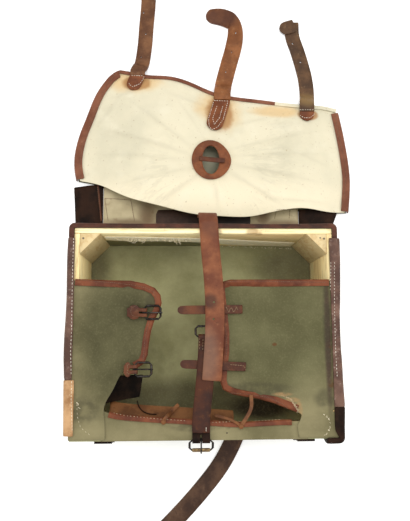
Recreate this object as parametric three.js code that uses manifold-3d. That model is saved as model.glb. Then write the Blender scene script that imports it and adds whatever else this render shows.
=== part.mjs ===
// Framed haversack of canvas, linen and leather over a wooden frame, lying open on its back.
// Millimetres. +Z points up from the floor, +Y towards the opened lid, +X to the right.
// The origin is the middle of the box's back, on the floor.

import * as THREE from 'three';
import { mergeVertices } from 'three/addons/utils/BufferGeometryUtils.js';
import Module from 'manifold-3d';

const wasm = await Module();
wasm.setup();

// Wooden frame
const FRAME_WIDTH = 330;
const FRAME_HEIGHT = 262;
const FRAME_DEPTH = 103;
const PLANK = 6.5;
const BLOCK_LEG = 26;

// Cloth and leather
const CANVAS = 1.5;
const LINEN = 1.2;
const LEATHER = 2.4;
const THIN_LEATHER = 1.6;
const GAP = 0.3;

// Leather bindings round the front of the box, and edgings of the flaps
const BINDING_REACH = 6;
const BINDING_DROP = 15;
const EDGING_WIDTH = 6.5;
const RIM_WIDTH = 4.8;

// Lid
const LID_WIDTH = 392;
const LID_LENGTH = 170;
const LID_SHIFT = 14;
const ROOF_LENGTH = 62;
const ROOF_WIDTH = FRAME_WIDTH * 0.8667;
const RIM_HEIGHT = 8.6;
const PUFF = 27;
const LID_EDGING = 13;
const LID_EDGING_FAR = 5;
const WING_WIDTH = 34;
const WING_ARCH = 9;
const BAND_WIDTH = 27;
const BAND_LENGTH = 138;

// Ring in the linen of the lid
const RING_WIDTH = 56;
const RING_HEIGHT = 60;
const RING_HOLE_WIDTH = 25;
const RING_HOLE_HEIGHT = 43;
const RING_BAR_WIDTH = 7;

// Straps
const LID_STRAP_WIDTH = 22;
const LID_STRAP_LENGTH = 178;
const CENTER_LID_STRAP_WIDTH = 25;
const CENTER_STRAP_WIDTH = 24;
const CENTER_STRAP_TAIL = 192;
const LOWER_STRAP_WIDTH = 22;
const SHOULDER_STRAP_WIDTH = 24.5;
const SHOULDER_STRAP_REACH = 156;
const CLOSURE_STRAP_WIDTH = 11;
const CLOSURE_STRAP_LENGTH = 82;
const THONG_WIDTH = 4.5;
const THONG_THICKNESS = 1.5;

// Buckles
const WIRE = 2.9;
const PRONG = 2.0;
const FLAP_BUCKLE_WIDTH = 17;
const FLAP_BUCKLE_LENGTH = 20;
const STRAP_BUCKLE_LENGTH = 13;
const ROLLER = 4.8;
const TAB_WIDTH = 18.5;
const TAB_LENGTH = 22;
const CHAPE_LENGTH = 15;

// Heights that follow from the sizes
const FRONT = CANVAS + GAP + FRAME_DEPTH;
const LOW_FLAP = FRONT + GAP;
const HIGH_FLAP = LOW_FLAP + THIN_LEATHER + GAP;
const WALL_OUT = GAP + CANVAS;
const HALF_WIDTH = FRAME_WIDTH / 2;
const HALF_HEIGHT = FRAME_HEIGHT / 2;
const HINGE_Y = HALF_HEIGHT + WALL_OUT + GAP;
const MOUTH_Y = HINGE_Y + ROOF_LENGTH;
const UP = new THREE.Vector3(0, 0, 1);
const RIGHTWARD = new THREE.Vector3(1, 0, 0);
const LEFTWARD = new THREE.Vector3(-1, 0, 0);

const FINISHES = {
  pine: { color: 0xe6d3a3, roughness: 0.6, metalness: 0 },
  canvas: { color: 0x6c7157, roughness: 0.9, metalness: 0 },
  linen: { color: 0xe9dcbf, roughness: 0.9, metalness: 0 },
  chestnut: { color: 0x6e3b28, roughness: 0.5, metalness: 0 },
  tan: { color: 0xa9703f, roughness: 0.6, metalness: 0 },
  black_leather: { color: 0x2e211d, roughness: 0.5, metalness: 0 },
  iron: { color: 0x2f2b29, roughness: 0.5, metalness: 0.8 },
};

const haversack = new THREE.Group();
const box = new THREE.Group();
const lid = new THREE.Group();
haversack.add(box, lid);

function addPiece(group, name, geometry, finish) {
  const mesh = new THREE.Mesh(geometry, new THREE.MeshStandardMaterial(FINISHES[finish]));
  mesh.name = name;
  group.add(mesh);
  return mesh;
}

// Joining and cutting of closed bodies

function toSolid(geometry) {
  const bare = geometry.clone();
  bare.deleteAttribute('normal');
  bare.deleteAttribute('uv');
  const merged = mergeVertices(bare, 1e-4);
  const vertProperties = new Float32Array(merged.attributes.position.array);
  const triVerts = new Uint32Array(merged.index.array);
  return new wasm.Manifold(new wasm.Mesh({ numProp: 3, vertProperties, triVerts }));
}

function toGeometry(solid) {
  const mesh = solid.getMesh();
  const geometry = new THREE.BufferGeometry();
  geometry.setAttribute('position', new THREE.BufferAttribute(new Float32Array(mesh.vertProperties), 3));
  geometry.setIndex(new THREE.BufferAttribute(new Uint32Array(mesh.triVerts), 1));
  geometry.computeVertexNormals();
  return geometry;
}

function cut(geometry, ...tools) {
  const solids = tools.map(toSolid);
  return toGeometry(solids.reduce((left, tool) => left.subtract(tool), toSolid(geometry)));
}

function join(geometry, ...others) {
  const solids = others.map(toSolid);
  return toGeometry(solids.reduce((sum, other) => sum.add(other), toSolid(geometry)));
}

// The largest body that stays when a geometry is cut
function cutToOne(geometry, ...tools) {
  const bodies = toSolid(cut(geometry, ...tools)).decompose();
  return toGeometry(bodies.reduce((best, body) => (body.volume() > best.volume() ? body : best)));
}

// Shapes

function geometryOf(points, faces) {
  const geometry = new THREE.BufferGeometry();
  const positions = points.flatMap((point) => [point.x, point.y, point.z]);
  geometry.setAttribute('position', new THREE.Float32BufferAttribute(positions, 3));
  geometry.setIndex(faces);
  geometry.computeVertexNormals();
  return geometry;
}

function block(low, high) {
  const size = [0, 1, 2].map((axis) => high[axis] - low[axis]);
  const middle = [0, 1, 2].map((axis) => (high[axis] + low[axis]) / 2);
  return new THREE.BoxGeometry(...size).translate(...middle);
}

function prism(corners, low, high) {
  const shape = new THREE.Shape(corners.map(([x, y]) => new THREE.Vector2(x, y)));
  return new THREE.ExtrudeGeometry(shape, { depth: high - low, bevelEnabled: false }).translate(0, 0, low);
}

function ellipse(centerX, centerY, width, height, sides) {
  return Array.from({ length: sides }, (_, index) => {
    const turn = (2 * Math.PI * index) / sides;
    return [centerX + (width / 2) * Math.cos(turn), centerY + (height / 2) * Math.sin(turn)];
  });
}

// A closed body between an upper and a lower grid of points, with walls round the rim.
// Columns run to the right and rows away from the viewer, seen from the upper side.
function closedGrid(upper, lower) {
  const rows = upper.length - 1;
  const columns = upper[0].length - 1;
  const points = [...upper.flat(), ...lower.flat()];
  const faces = [];
  const at = (side, row, column) => (side * (rows + 1) + row) * (columns + 1) + column;
  const quad = (a, b, c, d) => faces.push(a, b, c, a, c, d);
  for (let row = 0; row < rows; row += 1) {
    for (let column = 0; column < columns; column += 1) {
      quad(at(0, row, column), at(0, row, column + 1), at(0, row + 1, column + 1), at(0, row + 1, column));
      quad(at(1, row, column), at(1, row + 1, column), at(1, row + 1, column + 1), at(1, row, column + 1));
    }
    quad(at(0, row + 1, 0), at(1, row + 1, 0), at(1, row, 0), at(0, row, 0));
    quad(at(0, row, columns), at(1, row, columns), at(1, row + 1, columns), at(0, row + 1, columns));
  }
  for (let column = 0; column < columns; column += 1) {
    quad(at(0, 0, column), at(1, 0, column), at(1, 0, column + 1), at(0, 0, column + 1));
    quad(at(0, rows, column + 1), at(1, rows, column + 1), at(1, rows, column), at(0, rows, column));
  }
  return geometryOf(points, faces);
}

function gridOf(surface, columns, rows) {
  return Array.from({ length: rows + 1 }, (_, row) =>
    Array.from({ length: columns + 1 }, (_, column) => surface(column / columns, row / rows)));
}

// Unit normals of a grid, from the neighbours of each of its points
function gridNormals(grid) {
  const rows = grid.length - 1;
  const columns = grid[0].length - 1;
  return grid.map((line, row) => line.map((_, column) => {
    const right = line[Math.min(column + 1, columns)].clone().sub(line[Math.max(column - 1, 0)]);
    const ahead = grid[Math.min(row + 1, rows)][column].clone().sub(grid[Math.max(row - 1, 0)][column]);
    return right.cross(ahead).normalize();
  }));
}

// A cloth of even thickness under a grid of points
function sheetUnder(grid, thickness) {
  const normals = gridNormals(grid);
  const lower = grid.map((line, row) =>
    line.map((point, column) => point.clone().addScaledVector(normals[row][column], -thickness)));
  return closedGrid(grid, lower);
}

// A body swept through a list of sections, each a list of points
function sweep(sections, outline, closed = false) {
  const count = outline.length;
  const faces = [];
  const steps = closed ? sections.length : sections.length - 1;
  for (let step = 0; step < steps; step += 1) {
    const here = step * count;
    const next = ((step + 1) % sections.length) * count;
    for (let side = 0; side < count; side += 1) {
      const turn = (side + 1) % count;
      faces.push(here + side, here + turn, next + turn, here + side, next + turn, next + side);
    }
  }
  if (!closed) {
    const flat = outline.map(([x, y]) => new THREE.Vector2(x, y));
    const last = (sections.length - 1) * count;
    for (const [a, b, c] of THREE.ShapeUtils.triangulateShape(flat, [])) {
      faces.push(c, b, a, last + a, last + b, last + c);
    }
  }
  return geometryOf(sections.flat(), faces);
}

// One section: outline points measured along two directions from a place
function sectionAt(place, across, upward, outline) {
  return outline.map(([x, y]) => place.clone().addScaledVector(across, x).addScaledVector(upward, y));
}

function roundOutline(diameter, sides) {
  return ellipse(0, 0, diameter, diameter, sides);
}

// A round wire along a smooth open route
function wire(points, diameter, steps, sides = 8) {
  const curve = new THREE.CatmullRomCurve3(points);
  const frames = curve.computeFrenetFrames(steps);
  const outline = roundOutline(diameter, sides);
  const sections = Array.from({ length: steps + 1 }, (_, step) =>
    sectionAt(curve.getPointAt(step / steps), frames.normals[step], frames.binormals[step], outline));
  return sweep(sections, outline);
}

function smooth(share) {
  const inside = Math.min(Math.max(share, 0), 1);
  return inside * inside * (3 - 2 * inside);
}

// Value of a named column at a share of the way through a short table
function column(table, name, share) {
  const place = Math.min(Math.max(share, 0), 1) * (table.length - 1);
  const row = Math.min(Math.floor(place), table.length - 2);
  return THREE.MathUtils.lerp(table[row][name], table[row + 1][name], place - row);
}

// A strap laid along a route that gives its underside. The route's points are
// [x, y, z] and may add a roll in degrees. A tip tapers the end over half the strap's width.
// holdSide is the strap's right side where it climbs steeply, startSide where it begins.
function strap({
  route, width, thickness = LEATHER, steps, tip = 'square', start = 'square', holdSide, startSide,
}) {
  const points = route.map(([x, y, z]) => new THREE.Vector3(x, y, z));
  const curve = new THREE.CatmullRomCurve3(points, false, 'centripetal');
  const rolls = route.map((point) => ({ roll: THREE.MathUtils.degToRad(point[3] ?? 0) }));
  const length = curve.getLength();
  const shares = Array.from({ length: steps + 1 }, (_, step) => step / steps);
  const roundShare = (0.5 * width) / length;
  const tipSteps = [0, 0.06, 0.25, 0.55];
  if (tip !== 'square') shares.push(...tipSteps.map((part) => 1 - part * roundShare));
  if (start !== 'square') shares.push(...tipSteps.map((part) => part * roundShare));
  const places = [...new Set(shares)].sort((a, b) => a - b);
  const upper = [];
  const lower = [];
  const taper = (part) => Math.max(Math.sqrt(Math.min(part, 1) * (2 - Math.min(part, 1))), 0.2);
  for (const share of places) {
    const center = curve.getPointAt(share);
    const ahead = curve.getTangentAt(share);
    const side = ahead.clone().cross(UP);
    if (holdSide && side.length() < 0.35) side.copy(holdSide);
    side.addScaledVector(ahead, -side.dot(ahead)).normalize();
    if (startSide && share === 0) side.copy(startSide);
    side.applyAxisAngle(ahead, column(rolls, 'roll', curve.getUtoTmapping(share)));
    const normal = side.clone().cross(ahead).normalize();
    let half = width / 2;
    if (tip !== 'square') half *= taper((1 - share) / roundShare);
    if (start !== 'square') half *= taper(share / roundShare);
    const row = [center.clone().addScaledVector(side, -half), center.clone().addScaledVector(side, half)];
    row.forEach((point) => point.setZ(Math.max(point.z, 0)));
    lower.push(row);
    upper.push(row.map((point) => point.clone().addScaledVector(normal, thickness)));
  }
  return closedGrid(upper, lower);
}

// Wooden frame: four planks on edge and two corner blocks under the top plank

function buildFrame() {
  const low = CANVAS + GAP;
  const inner = HALF_WIDTH - PLANK;
  const sideTop = HALF_HEIGHT - PLANK - GAP;
  const top = block([-HALF_WIDTH, HALF_HEIGHT - PLANK, low], [HALF_WIDTH, HALF_HEIGHT, FRONT]);
  const bottom = block([-HALF_WIDTH, -HALF_HEIGHT, low], [HALF_WIDTH, PLANK - HALF_HEIGHT, FRONT]);
  addPiece(box, 'frame_top', top, 'pine');
  addPiece(box, 'frame_bottom', bottom, 'pine');
  addPiece(box, 'frame_left', block([-HALF_WIDTH, -sideTop, low], [-inner, sideTop, FRONT]), 'pine');
  addPiece(box, 'frame_right', block([inner, -sideTop, low], [HALF_WIDTH, sideTop, FRONT]), 'pine');
  for (const [name, hand] of [['corner_block_left', -1], ['corner_block_right', 1]]) {
    const cornerX = hand * (inner - GAP);
    const corners = [
      [cornerX, sideTop],
      [cornerX - hand * BLOCK_LEG, sideTop],
      [cornerX, sideTop - BLOCK_LEG],
    ];
    addPiece(box, name, prism(hand > 0 ? corners : corners.reverse(), low, FRONT), 'pine');
  }
}

// Canvas box: a back panel and four walls round the outside of the frame

function aroundFrame(distance, turns = 4) {
  const quarter = Math.PI / 2;
  const centers = [
    [HALF_WIDTH, HALF_HEIGHT],
    [-HALF_WIDTH, HALF_HEIGHT],
    [-HALF_WIDTH, -HALF_HEIGHT],
    [HALF_WIDTH, -HALF_HEIGHT],
  ];
  return centers.flatMap(([x, y], index) => Array.from({ length: turns + 1 }, (_, step) => {
    const turn = quarter * (index + step / turns);
    return [x + distance * Math.cos(turn), y + distance * Math.sin(turn)];
  }));
}

function buildCanvasBody() {
  const outside = prism(aroundFrame(WALL_OUT), 0, FRONT);
  const hollow = prism(aroundFrame(GAP), CANVAS, FRONT + CANVAS);
  addPiece(box, 'canvas_body', cut(outside, hollow), 'canvas');
}

// A strip of torn linen along the top plank's inner face, lower at the right
const TORN_HEM = [
  { across: -0.395, top: 0.80, hem: 0.58 },
  { across: -0.30, top: 0.80, hem: 0.46 },
  { across: -0.16, top: 0.74, hem: 0.50 },
  { across: 0.0, top: 0.70, hem: 0.40 },
  { across: 0.14, top: 0.58, hem: 0.16 },
  { across: 0.28, top: 0.44, hem: 0.10 },
  { across: 0.395, top: 0.36, hem: 0.05 },
];

function buildLiningStrip() {
  const face = HALF_HEIGHT - PLANK - GAP;
  const surface = (u, v) => new THREE.Vector3(
    FRAME_WIDTH * column(TORN_HEM, 'across', u),
    face - LINEN,
    FRONT * THREE.MathUtils.lerp(column(TORN_HEM, 'hem', u), column(TORN_HEM, 'top', u), v),
  );
  addPiece(box, 'lining_strip', sheetUnder(gridOf(surface, 12, 1), LINEN), 'linen');
}

// Front flaps. Each row joins a point of the side seam to a point of the free edge.
// across and up are shares of the frame's width and height, hinge is the seam's share of the height.
const LEFT_FLAP_EDGE = [
  { across: -0.285, up: 0.234, hinge: 0.244 },
  { across: -0.222, up: 0.219, hinge: 0.224 },
  { across: -0.184, up: 0.192, hinge: 0.196 },
  { across: -0.171, up: 0.153, hinge: 0.158 },
  { across: -0.174, up: 0.110, hinge: 0.116 },
  { across: -0.196, up: 0.062, hinge: 0.068 },
  { across: -0.212, up: -0.004, hinge: 0.0 },
  { across: -0.221, up: -0.076, hinge: -0.07 },
  { across: -0.228, up: -0.134, hinge: -0.125 },
  { across: -0.252, up: -0.164, hinge: -0.162 },
  { across: -0.300, up: -0.178, hinge: -0.195 },
  { across: -0.327, up: -0.221, hinge: -0.24 },
  { across: -0.344, up: -0.279, hinge: -0.29 },
  { across: -0.370, up: -0.325, hinge: -0.34 },
  { across: -0.378, up: -0.365, hinge: -0.385 },
  { across: -0.370, up: -0.430, hinge: -0.44 },
  { across: -0.370, up: -0.5, hinge: -0.5 },
];
const RIGHT_FLAP_EDGE = [
  { across: 0.100, up: 0.238, hinge: 0.240 },
  { across: 0.063, up: 0.226, hinge: 0.228 },
  { across: 0.061, up: 0.180, hinge: 0.184 },
  { across: 0.068, up: 0.085, hinge: 0.09 },
  { across: 0.075, up: -0.019, hinge: -0.01 },
  { across: 0.072, up: -0.130, hinge: -0.11 },
  { across: 0.062, up: -0.218, hinge: -0.18 },
  { across: 0.070, up: -0.268, hinge: -0.22 },
  { across: 0.112, up: -0.296, hinge: -0.255 },
  { across: 0.175, up: -0.310, hinge: -0.295 },
  { across: 0.245, up: -0.328, hinge: -0.33 },
  { across: 0.305, up: -0.355, hinge: -0.36 },
  { across: 0.352, up: -0.380, hinge: -0.385 },
  { across: 0.364, up: -0.404, hinge: -0.41 },
  { across: 0.345, up: -0.432, hinge: -0.44 },
  { across: 0.350, up: -0.5, hinge: -0.5 },
];
// How far each flap sinks at its free edge, from its top to the bottom of the box, as a share of the depth
const LEFT_SINK = [0.03, 0.06, 0.10, 0.13, 0.12, 0.06, 0, 0, 0].map((sink) => ({ sink }));
const RIGHT_SINK = [0.03, 0.07, 0.07, 0.07, 0.08, 0.12, 0.05, 0, 0].map((sink) => ({ sink }));
// Shallow dents pressed into the flaps: places and depths as shares of the frame's sizes
const FLAP_DENTS = [
  { across: -0.36, up: 0.02, depth: 0.035, spread: 0.10 },
  { across: -0.30, up: 0.14, depth: -0.015, spread: 0.06 },
  { across: 0.20, up: 0.05, depth: 0.030, spread: 0.09 },
  { across: 0.30, up: -0.14, depth: 0.030, spread: 0.08 },
  { across: 0.36, up: 0.12, depth: 0.015, spread: 0.07 },
];
const SEAM_REST = 0.03;

function dentDepth(x, y) {
  return FLAP_DENTS.reduce((sum, dent) => {
    const dx = (x / FRAME_WIDTH - dent.across) / dent.spread;
    const dy = (y / FRAME_WIDTH - (dent.up * FRAME_HEIGHT) / FRAME_WIDTH) / dent.spread;
    return sum + dent.depth * FRAME_DEPTH * Math.exp(-dx * dx - dy * dy);
  }, 0);
}

// Upper face of a flap. u runs from the left to the right, v from the bottom to the top.
function flapSurface(edge, sinks, hand) {
  const points = edge.map((row) => new THREE.Vector3(row.across, row.up, row.hinge));
  const free = new THREE.CatmullRomCurve3(points);
  return (u, v) => {
    const row = free.getPoint(1 - v);
    const out = hand > 0 ? 1 - u : u;
    const seamX = hand * (HALF_WIDTH + WALL_OUT);
    const x = THREE.MathUtils.lerp(seamX, row.x * FRAME_WIDTH, out);
    const y = THREE.MathUtils.lerp(row.z * FRAME_HEIGHT, row.y * FRAME_HEIGHT, out);
    const bow = smooth((out - SEAM_REST * 2) / (1 - SEAM_REST * 2));
    const held = smooth(Math.min(out / 0.35, 1)) * smooth((y + HALF_HEIGHT) / (FRAME_HEIGHT * 0.14));
    const sink = column(sinks, 'sink', 1 - v) * FRAME_DEPTH * bow + dentDepth(x, y) * held;
    return new THREE.Vector3(x, y, HIGH_FLAP + CANVAS - sink);
  };
}

// A grid of cloth grown by a clearance on both faces and past its rim
function grownSheet(grid, thickness, clearance) {
  const rows = grid.length - 1;
  const columns = grid[0].length - 1;
  const stretched = grid.map((line, row) => line.map((point, place) => {
    const inward = grid[Math.min(Math.max(row, 1), rows - 1)][Math.min(Math.max(place, 1), columns - 1)];
    const past = point.clone().sub(inward);
    return point.clone().addScaledVector(past.normalize(), inward === point ? 0 : clearance * 1.4);
  }));
  const normals = gridNormals(stretched);
  const shifted = (distance) => stretched.map((line, row) =>
    line.map((point, place) => point.clone().addScaledVector(normals[row][place], distance)));
  return closedGrid(shifted(clearance), shifted(-thickness - clearance));
}

// A place between two columns of a grid
function between(grid, row, place) {
  const low = Math.floor(place);
  const high = Math.ceil(place);
  return grid[row][low].clone().lerp(grid[row][high], place - low);
}

// A folded leather edging round the rim of a sheet, along a list of grid places
function edgingAlong(grid, cells, sheetThickness, legWidth, leather) {
  const normals = gridNormals(grid);
  const places = cells.map(([row, place]) => ({
    point: between(grid, row, place),
    normal: between(normals, row, place).normalize(),
  }));
  const top = leather + GAP;
  const bottom = -sheetThickness - GAP - leather;
  const out = GAP + leather;
  const outline = [
    [-legWidth, bottom], [0, bottom], [out, bottom + leather],
    [out, top - leather], [0, top], [-legWidth, top],
  ];
  const sections = places.map((place, index) => {
    const before = places[Math.max(index - 1, 0)].point;
    const after = places[Math.min(index + 1, places.length - 1)].point;
    const ahead = after.clone().sub(before).normalize();
    const across = place.normal.clone().cross(ahead).normalize();
    return sectionAt(place.point, across, ahead.clone().cross(across), outline);
  });
  return cut(sweep(sections, outline), grownSheet(grid, sheetThickness, GAP));
}

const FLAP_COLUMNS = 7;
const FLAP_ROWS = 19;
// How far from the seam the flaps' edgings begin, in columns
const EDGING_START = 0.45;
const leftFlap = flapSurface(LEFT_FLAP_EDGE, LEFT_SINK, -1);
const rightFlap = flapSurface(RIGHT_FLAP_EDGE, RIGHT_SINK, 1);

function range(from, to) {
  const step = to >= from ? 1 : -1;
  return Array.from({ length: Math.abs(to - from) + 1 }, (_, index) => from + step * index);
}

function buildFlaps() {
  const left = gridOf(leftFlap, FLAP_COLUMNS, FLAP_ROWS);
  const right = gridOf(rightFlap, FLAP_COLUMNS, FLAP_ROWS);
  addPiece(box, 'left_flap', sheetUnder(left, CANVAS), 'canvas');
  addPiece(box, 'right_flap', sheetUnder(right, CANVAS), 'canvas');
  const leftEnd = Math.round(FLAP_ROWS * 0.44);
  const leftCells = [
    [FLAP_ROWS, EDGING_START],
    ...range(1, FLAP_COLUMNS - 1).map((place) => [FLAP_ROWS, place]),
    ...range(FLAP_ROWS, leftEnd).map((row) => [row, FLAP_COLUMNS]),
  ];
  const rightEnd = Math.round(FLAP_ROWS * 0.19);
  const rightCells = [
    ...range(rightEnd, FLAP_ROWS).map((row) => [row, 0]),
    ...range(1, FLAP_COLUMNS - 1).map((place) => [FLAP_ROWS, place]),
    [FLAP_ROWS, FLAP_COLUMNS - EDGING_START],
  ];
  const leftEdging = edgingAlong(left, leftCells, CANVAS, EDGING_WIDTH, THIN_LEATHER);
  const rightEdging = edgingAlong(right, rightCells, CANVAS, EDGING_WIDTH, THIN_LEATHER);
  addPiece(box, 'edging_left_flap', leftEdging, 'chestnut');
  addPiece(box, 'edging_right_flap', rightEdging, 'chestnut');
}

// The bottom flap folds over the lower plank and keeps a leather rim along the opening
const BOTTOM_FLAP_EDGE = [
  { across: -0.385, up: -0.366, sink: 0 },
  { across: -0.345, up: -0.385, sink: 0 },
  { across: -0.300, up: -0.394, sink: 0.015 },
  { across: -0.240, up: -0.402, sink: 0.03 },
  { across: -0.170, up: -0.409, sink: 0.035 },
  { across: -0.050, up: -0.417, sink: 0.02 },
  { across: 0.040, up: -0.425, sink: 0.02 },
  { across: 0.120, up: -0.433, sink: 0.04 },
  { across: 0.190, up: -0.430, sink: 0.045 },
  { across: 0.290, up: -0.424, sink: 0.03 },
  { across: 0.345, up: -0.424, sink: 0 },
  { across: 0.385, up: -0.424, sink: 0 },
];
const BOTTOM_COLUMNS = 16;

function bottomFlap(u, v) {
  const x = FRAME_WIDTH * column(BOTTOM_FLAP_EDGE, 'across', u);
  const seam = -HALF_HEIGHT - WALL_OUT;
  const y = THREE.MathUtils.lerp(seam, FRAME_HEIGHT * column(BOTTOM_FLAP_EDGE, 'up', u), v);
  const past = (y + HALF_HEIGHT - PLANK) / (HALF_HEIGHT * 0.16);
  const sink = FRAME_DEPTH * column(BOTTOM_FLAP_EDGE, 'sink', u) * smooth(past);
  return new THREE.Vector3(x, y, LOW_FLAP + CANVAS - sink);
}

function buildBottomFlap() {
  const grid = gridOf(bottomFlap, BOTTOM_COLUMNS, 3);
  addPiece(box, 'bottom_flap', sheetUnder(grid, CANVAS), 'canvas');
  const cells = range(1, BOTTOM_COLUMNS - 2).map((place) => [3, place]);
  const rim = edgingAlong(grid, cells, CANVAS, RIM_WIDTH, THIN_LEATHER);
  addPiece(box, 'edging_bottom_flap', rim, 'chestnut');
}

// A sheet spanned between two rails of points, hanging through between them
function sheetBetween(near, far, rows, thickness, sag = 0) {
  const grid = Array.from({ length: rows + 1 }, (_, row) => near.map((point, index) => {
    const place = point.clone().lerp(far[index], row / rows);
    place.z -= sag * Math.sin((Math.PI * row) / rows);
    return place;
  }));
  return sheetUnder(grid, thickness);
}

// Leather inside the lower opening: a dark panel under the left flap and a tan strip under the rim
const INNER_PANEL_RIGHT = -0.236;
const INNER_PANEL_DROP = 20;
const FACING_WIDTH = 17;
const FACING_DROP = 13;

function buildInnerLeather() {
  const held = [0.33, 0.30, 0.26, 0.22, 0.17].map((share) =>
    leftFlap(0.93, share).add(new THREE.Vector3(0, 0, -CANVAS - GAP * 2)));
  const hanging = held.map((point, index) => new THREE.Vector3(
    FRAME_WIDTH * INNER_PANEL_RIGHT - index, point.y + index * 1.5, held[0].z - INNER_PANEL_DROP,
  ));
  const panel = sheetBetween(hanging.reverse(), held.reverse(), 5, LEATHER, 3);
  addPiece(box, 'inner_leather', panel, 'black_leather');
  const under = CANVAS + THIN_LEATHER + GAP * 3;
  const rim = range(1, 10).map((place) => bottomFlap(place / BOTTOM_COLUMNS, 1));
  const outer = rim.map((point) => point.clone().add(new THREE.Vector3(0, -EDGING_WIDTH * 0.5, -under)));
  const inward = new THREE.Vector3(0, FACING_WIDTH - EDGING_WIDTH * 0.5, -under - FACING_DROP);
  const inner = rim.map((point) => point.clone().add(inward));
  addPiece(box, 'facing_strip', sheetBetween(outer, inner, 3, THIN_LEATHER), 'tan');
}

// Bindings: leather folded over the seams between the walls and the flaps

function bindingOutline(inner, level, reach, drop) {
  const wall = WALL_OUT + GAP;
  return [
    [inner, level], [wall, level], [wall, FRONT - drop], [wall + THIN_LEATHER, FRONT - drop],
    [wall + reach, FRONT - drop * 0.5], [wall + reach, level], [wall + reach * 0.6, level + LEATHER],
    [inner, level + LEATHER],
  ];
}

function bindingAlong(stations, drop) {
  const sections = stations.map(({ x, y, turn, inner, level, wear = 0 }) => {
    const outward = new THREE.Vector3(Math.cos(turn), Math.sin(turn), 0);
    const outline = bindingOutline(inner, level, BINDING_REACH * (0.9 + wear), drop);
    return sectionAt(new THREE.Vector3(x, y, 0), outward, UP, outline);
  });
  return sweep(sections, bindingOutline(-LEATHER, FRONT, BINDING_REACH, drop));
}

// How far the side bindings are worn out of line, from the bottom to the top, as a share of their reach
const LEFT_WEAR = [0.1, 0.32, 0.3, 0.1, 0, 0.05, 0.1, 0].map((wear) => ({ wear }));
const RIGHT_WEAR = [0.2, 0.0, -0.1, -0.2, -0.1, 0.1, 0.3, 0.3].map((wear) => ({ wear }));
const PATCH_WEAR = [0.0, 0.05, 0.15, 0.2].map((wear) => ({ wear }));
const LEFT_PATCH_TOP = -0.225;
const RIGHT_PATCH_TOP = -0.36;
const BINDING_TOP = 0.45;
const LEFT_BINDING_LAP = 1.5;
const RIGHT_BINDING_LAP = 5;

function sideStations(hand, from, to, steps, inner, wears) {
  return Array.from({ length: steps + 1 }, (_, step) => ({
    x: hand * HALF_WIDTH,
    y: FRAME_HEIGHT * THREE.MathUtils.lerp(from, to, step / steps),
    turn: hand > 0 ? 0 : Math.PI,
    inner,
    level: HIGH_FLAP + CANVAS + GAP,
    wear: column(wears, 'wear', step / steps),
  }));
}

function cornerStations(x, y, fromTurn, toTurn, inner, level, steps = 4) {
  return Array.from({ length: steps + 1 }, (_, step) => ({
    x, y, turn: THREE.MathUtils.lerp(fromTurn, toTurn, step / steps), inner, level,
  }));
}

function buildBindings() {
  const quarter = Math.PI / 2;
  const shareGap = GAP / FRAME_HEIGHT;
  const left = sideStations(-1, LEFT_PATCH_TOP + shareGap, BINDING_TOP, 14, -LEFT_BINDING_LAP, LEFT_WEAR);
  addPiece(box, 'binding_left', bindingAlong(left, BINDING_DROP), 'chestnut');
  const patch = sideStations(-1, -0.48, LEFT_PATCH_TOP, 7, -LEFT_BINDING_LAP * 3, PATCH_WEAR);
  addPiece(box, 'corner_patch_left', bindingAlong(patch, BINDING_DROP * 1.4), 'tan');
  const right = sideStations(1, RIGHT_PATCH_TOP + shareGap, BINDING_TOP, 16, -RIGHT_BINDING_LAP, RIGHT_WEAR);
  addPiece(box, 'binding_right', bindingAlong(right.reverse(), BINDING_DROP), 'chestnut');

  const level = HIGH_FLAP + CANVAS + GAP;
  const corner = [
    ...sideStations(1, -0.47, RIGHT_PATCH_TOP, 4, -RIGHT_BINDING_LAP, PATCH_WEAR).reverse(),
    ...cornerStations(HALF_WIDTH, -HALF_HEIGHT, 0, -quarter, GAP, level),
    { x: HALF_WIDTH - BINDING_DROP, y: -HALF_HEIGHT, turn: -quarter, inner: GAP, level },
  ];
  addPiece(box, 'corner_patch_right', bindingAlong(corner, BINDING_DROP * 1.2), 'black_leather');

  const low = FRONT + GAP;
  const topFrom = FRAME_HEIGHT * (BINDING_TOP + shareGap);
  const top = [
    { x: -HALF_WIDTH, y: topFrom, turn: Math.PI, inner: GAP, level: low },
    ...cornerStations(-HALF_WIDTH, HALF_HEIGHT, Math.PI, quarter, GAP, low),
    ...[-0.25, 0, 0.25].map((share) => ({
      x: share * FRAME_WIDTH, y: HALF_HEIGHT, turn: quarter, inner: GAP, level: low, wear: -Math.abs(share),
    })),
    ...cornerStations(HALF_WIDTH, HALF_HEIGHT, quarter, 0, GAP, low),
    { x: HALF_WIDTH, y: topFrom, turn: 0, inner: GAP, level: low },
  ];
  addPiece(box, 'binding_top', bindingAlong(top, BINDING_DROP), 'chestnut');
}

// Lid. Its outline is a patch between four edges, given as shares of the lid's width and length
// from the middle of the pouch's mouth.
const LID_LEFT_EDGE = [
  { across: -0.503, along: 0.147 },
  { across: -0.514, along: 0.290 },
  { across: -0.501, along: 0.508 },
  { across: -0.469, along: 0.717 },
  { across: -0.434, along: 0.941 },
  { across: -0.390, along: 1.088 },
];
const LID_FAR_EDGE = [
  { across: -0.390, along: 1.088 },
  { across: -0.349, along: 1.151 },
  { across: -0.242, along: 1.103 },
  { across: -0.159, along: 1.104 },
  { across: -0.078, along: 1.052 },
  { across: 0.005, along: 0.958 },
  { across: 0.079, along: 0.917 },
  { across: 0.171, along: 0.895 },
  { across: 0.245, along: 0.873 },
  { across: 0.339, along: 0.851 },
  { across: 0.452, along: 0.835 },
  { across: 0.492, along: 0.806 },
];
const LID_RIGHT_EDGE = [
  { across: 0.520, along: -0.124 },
  { across: 0.529, along: 0.085 },
  { across: 0.530, along: 0.220 },
  { across: 0.512, along: 0.560 },
  { across: 0.492, along: 0.806 },
];
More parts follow.
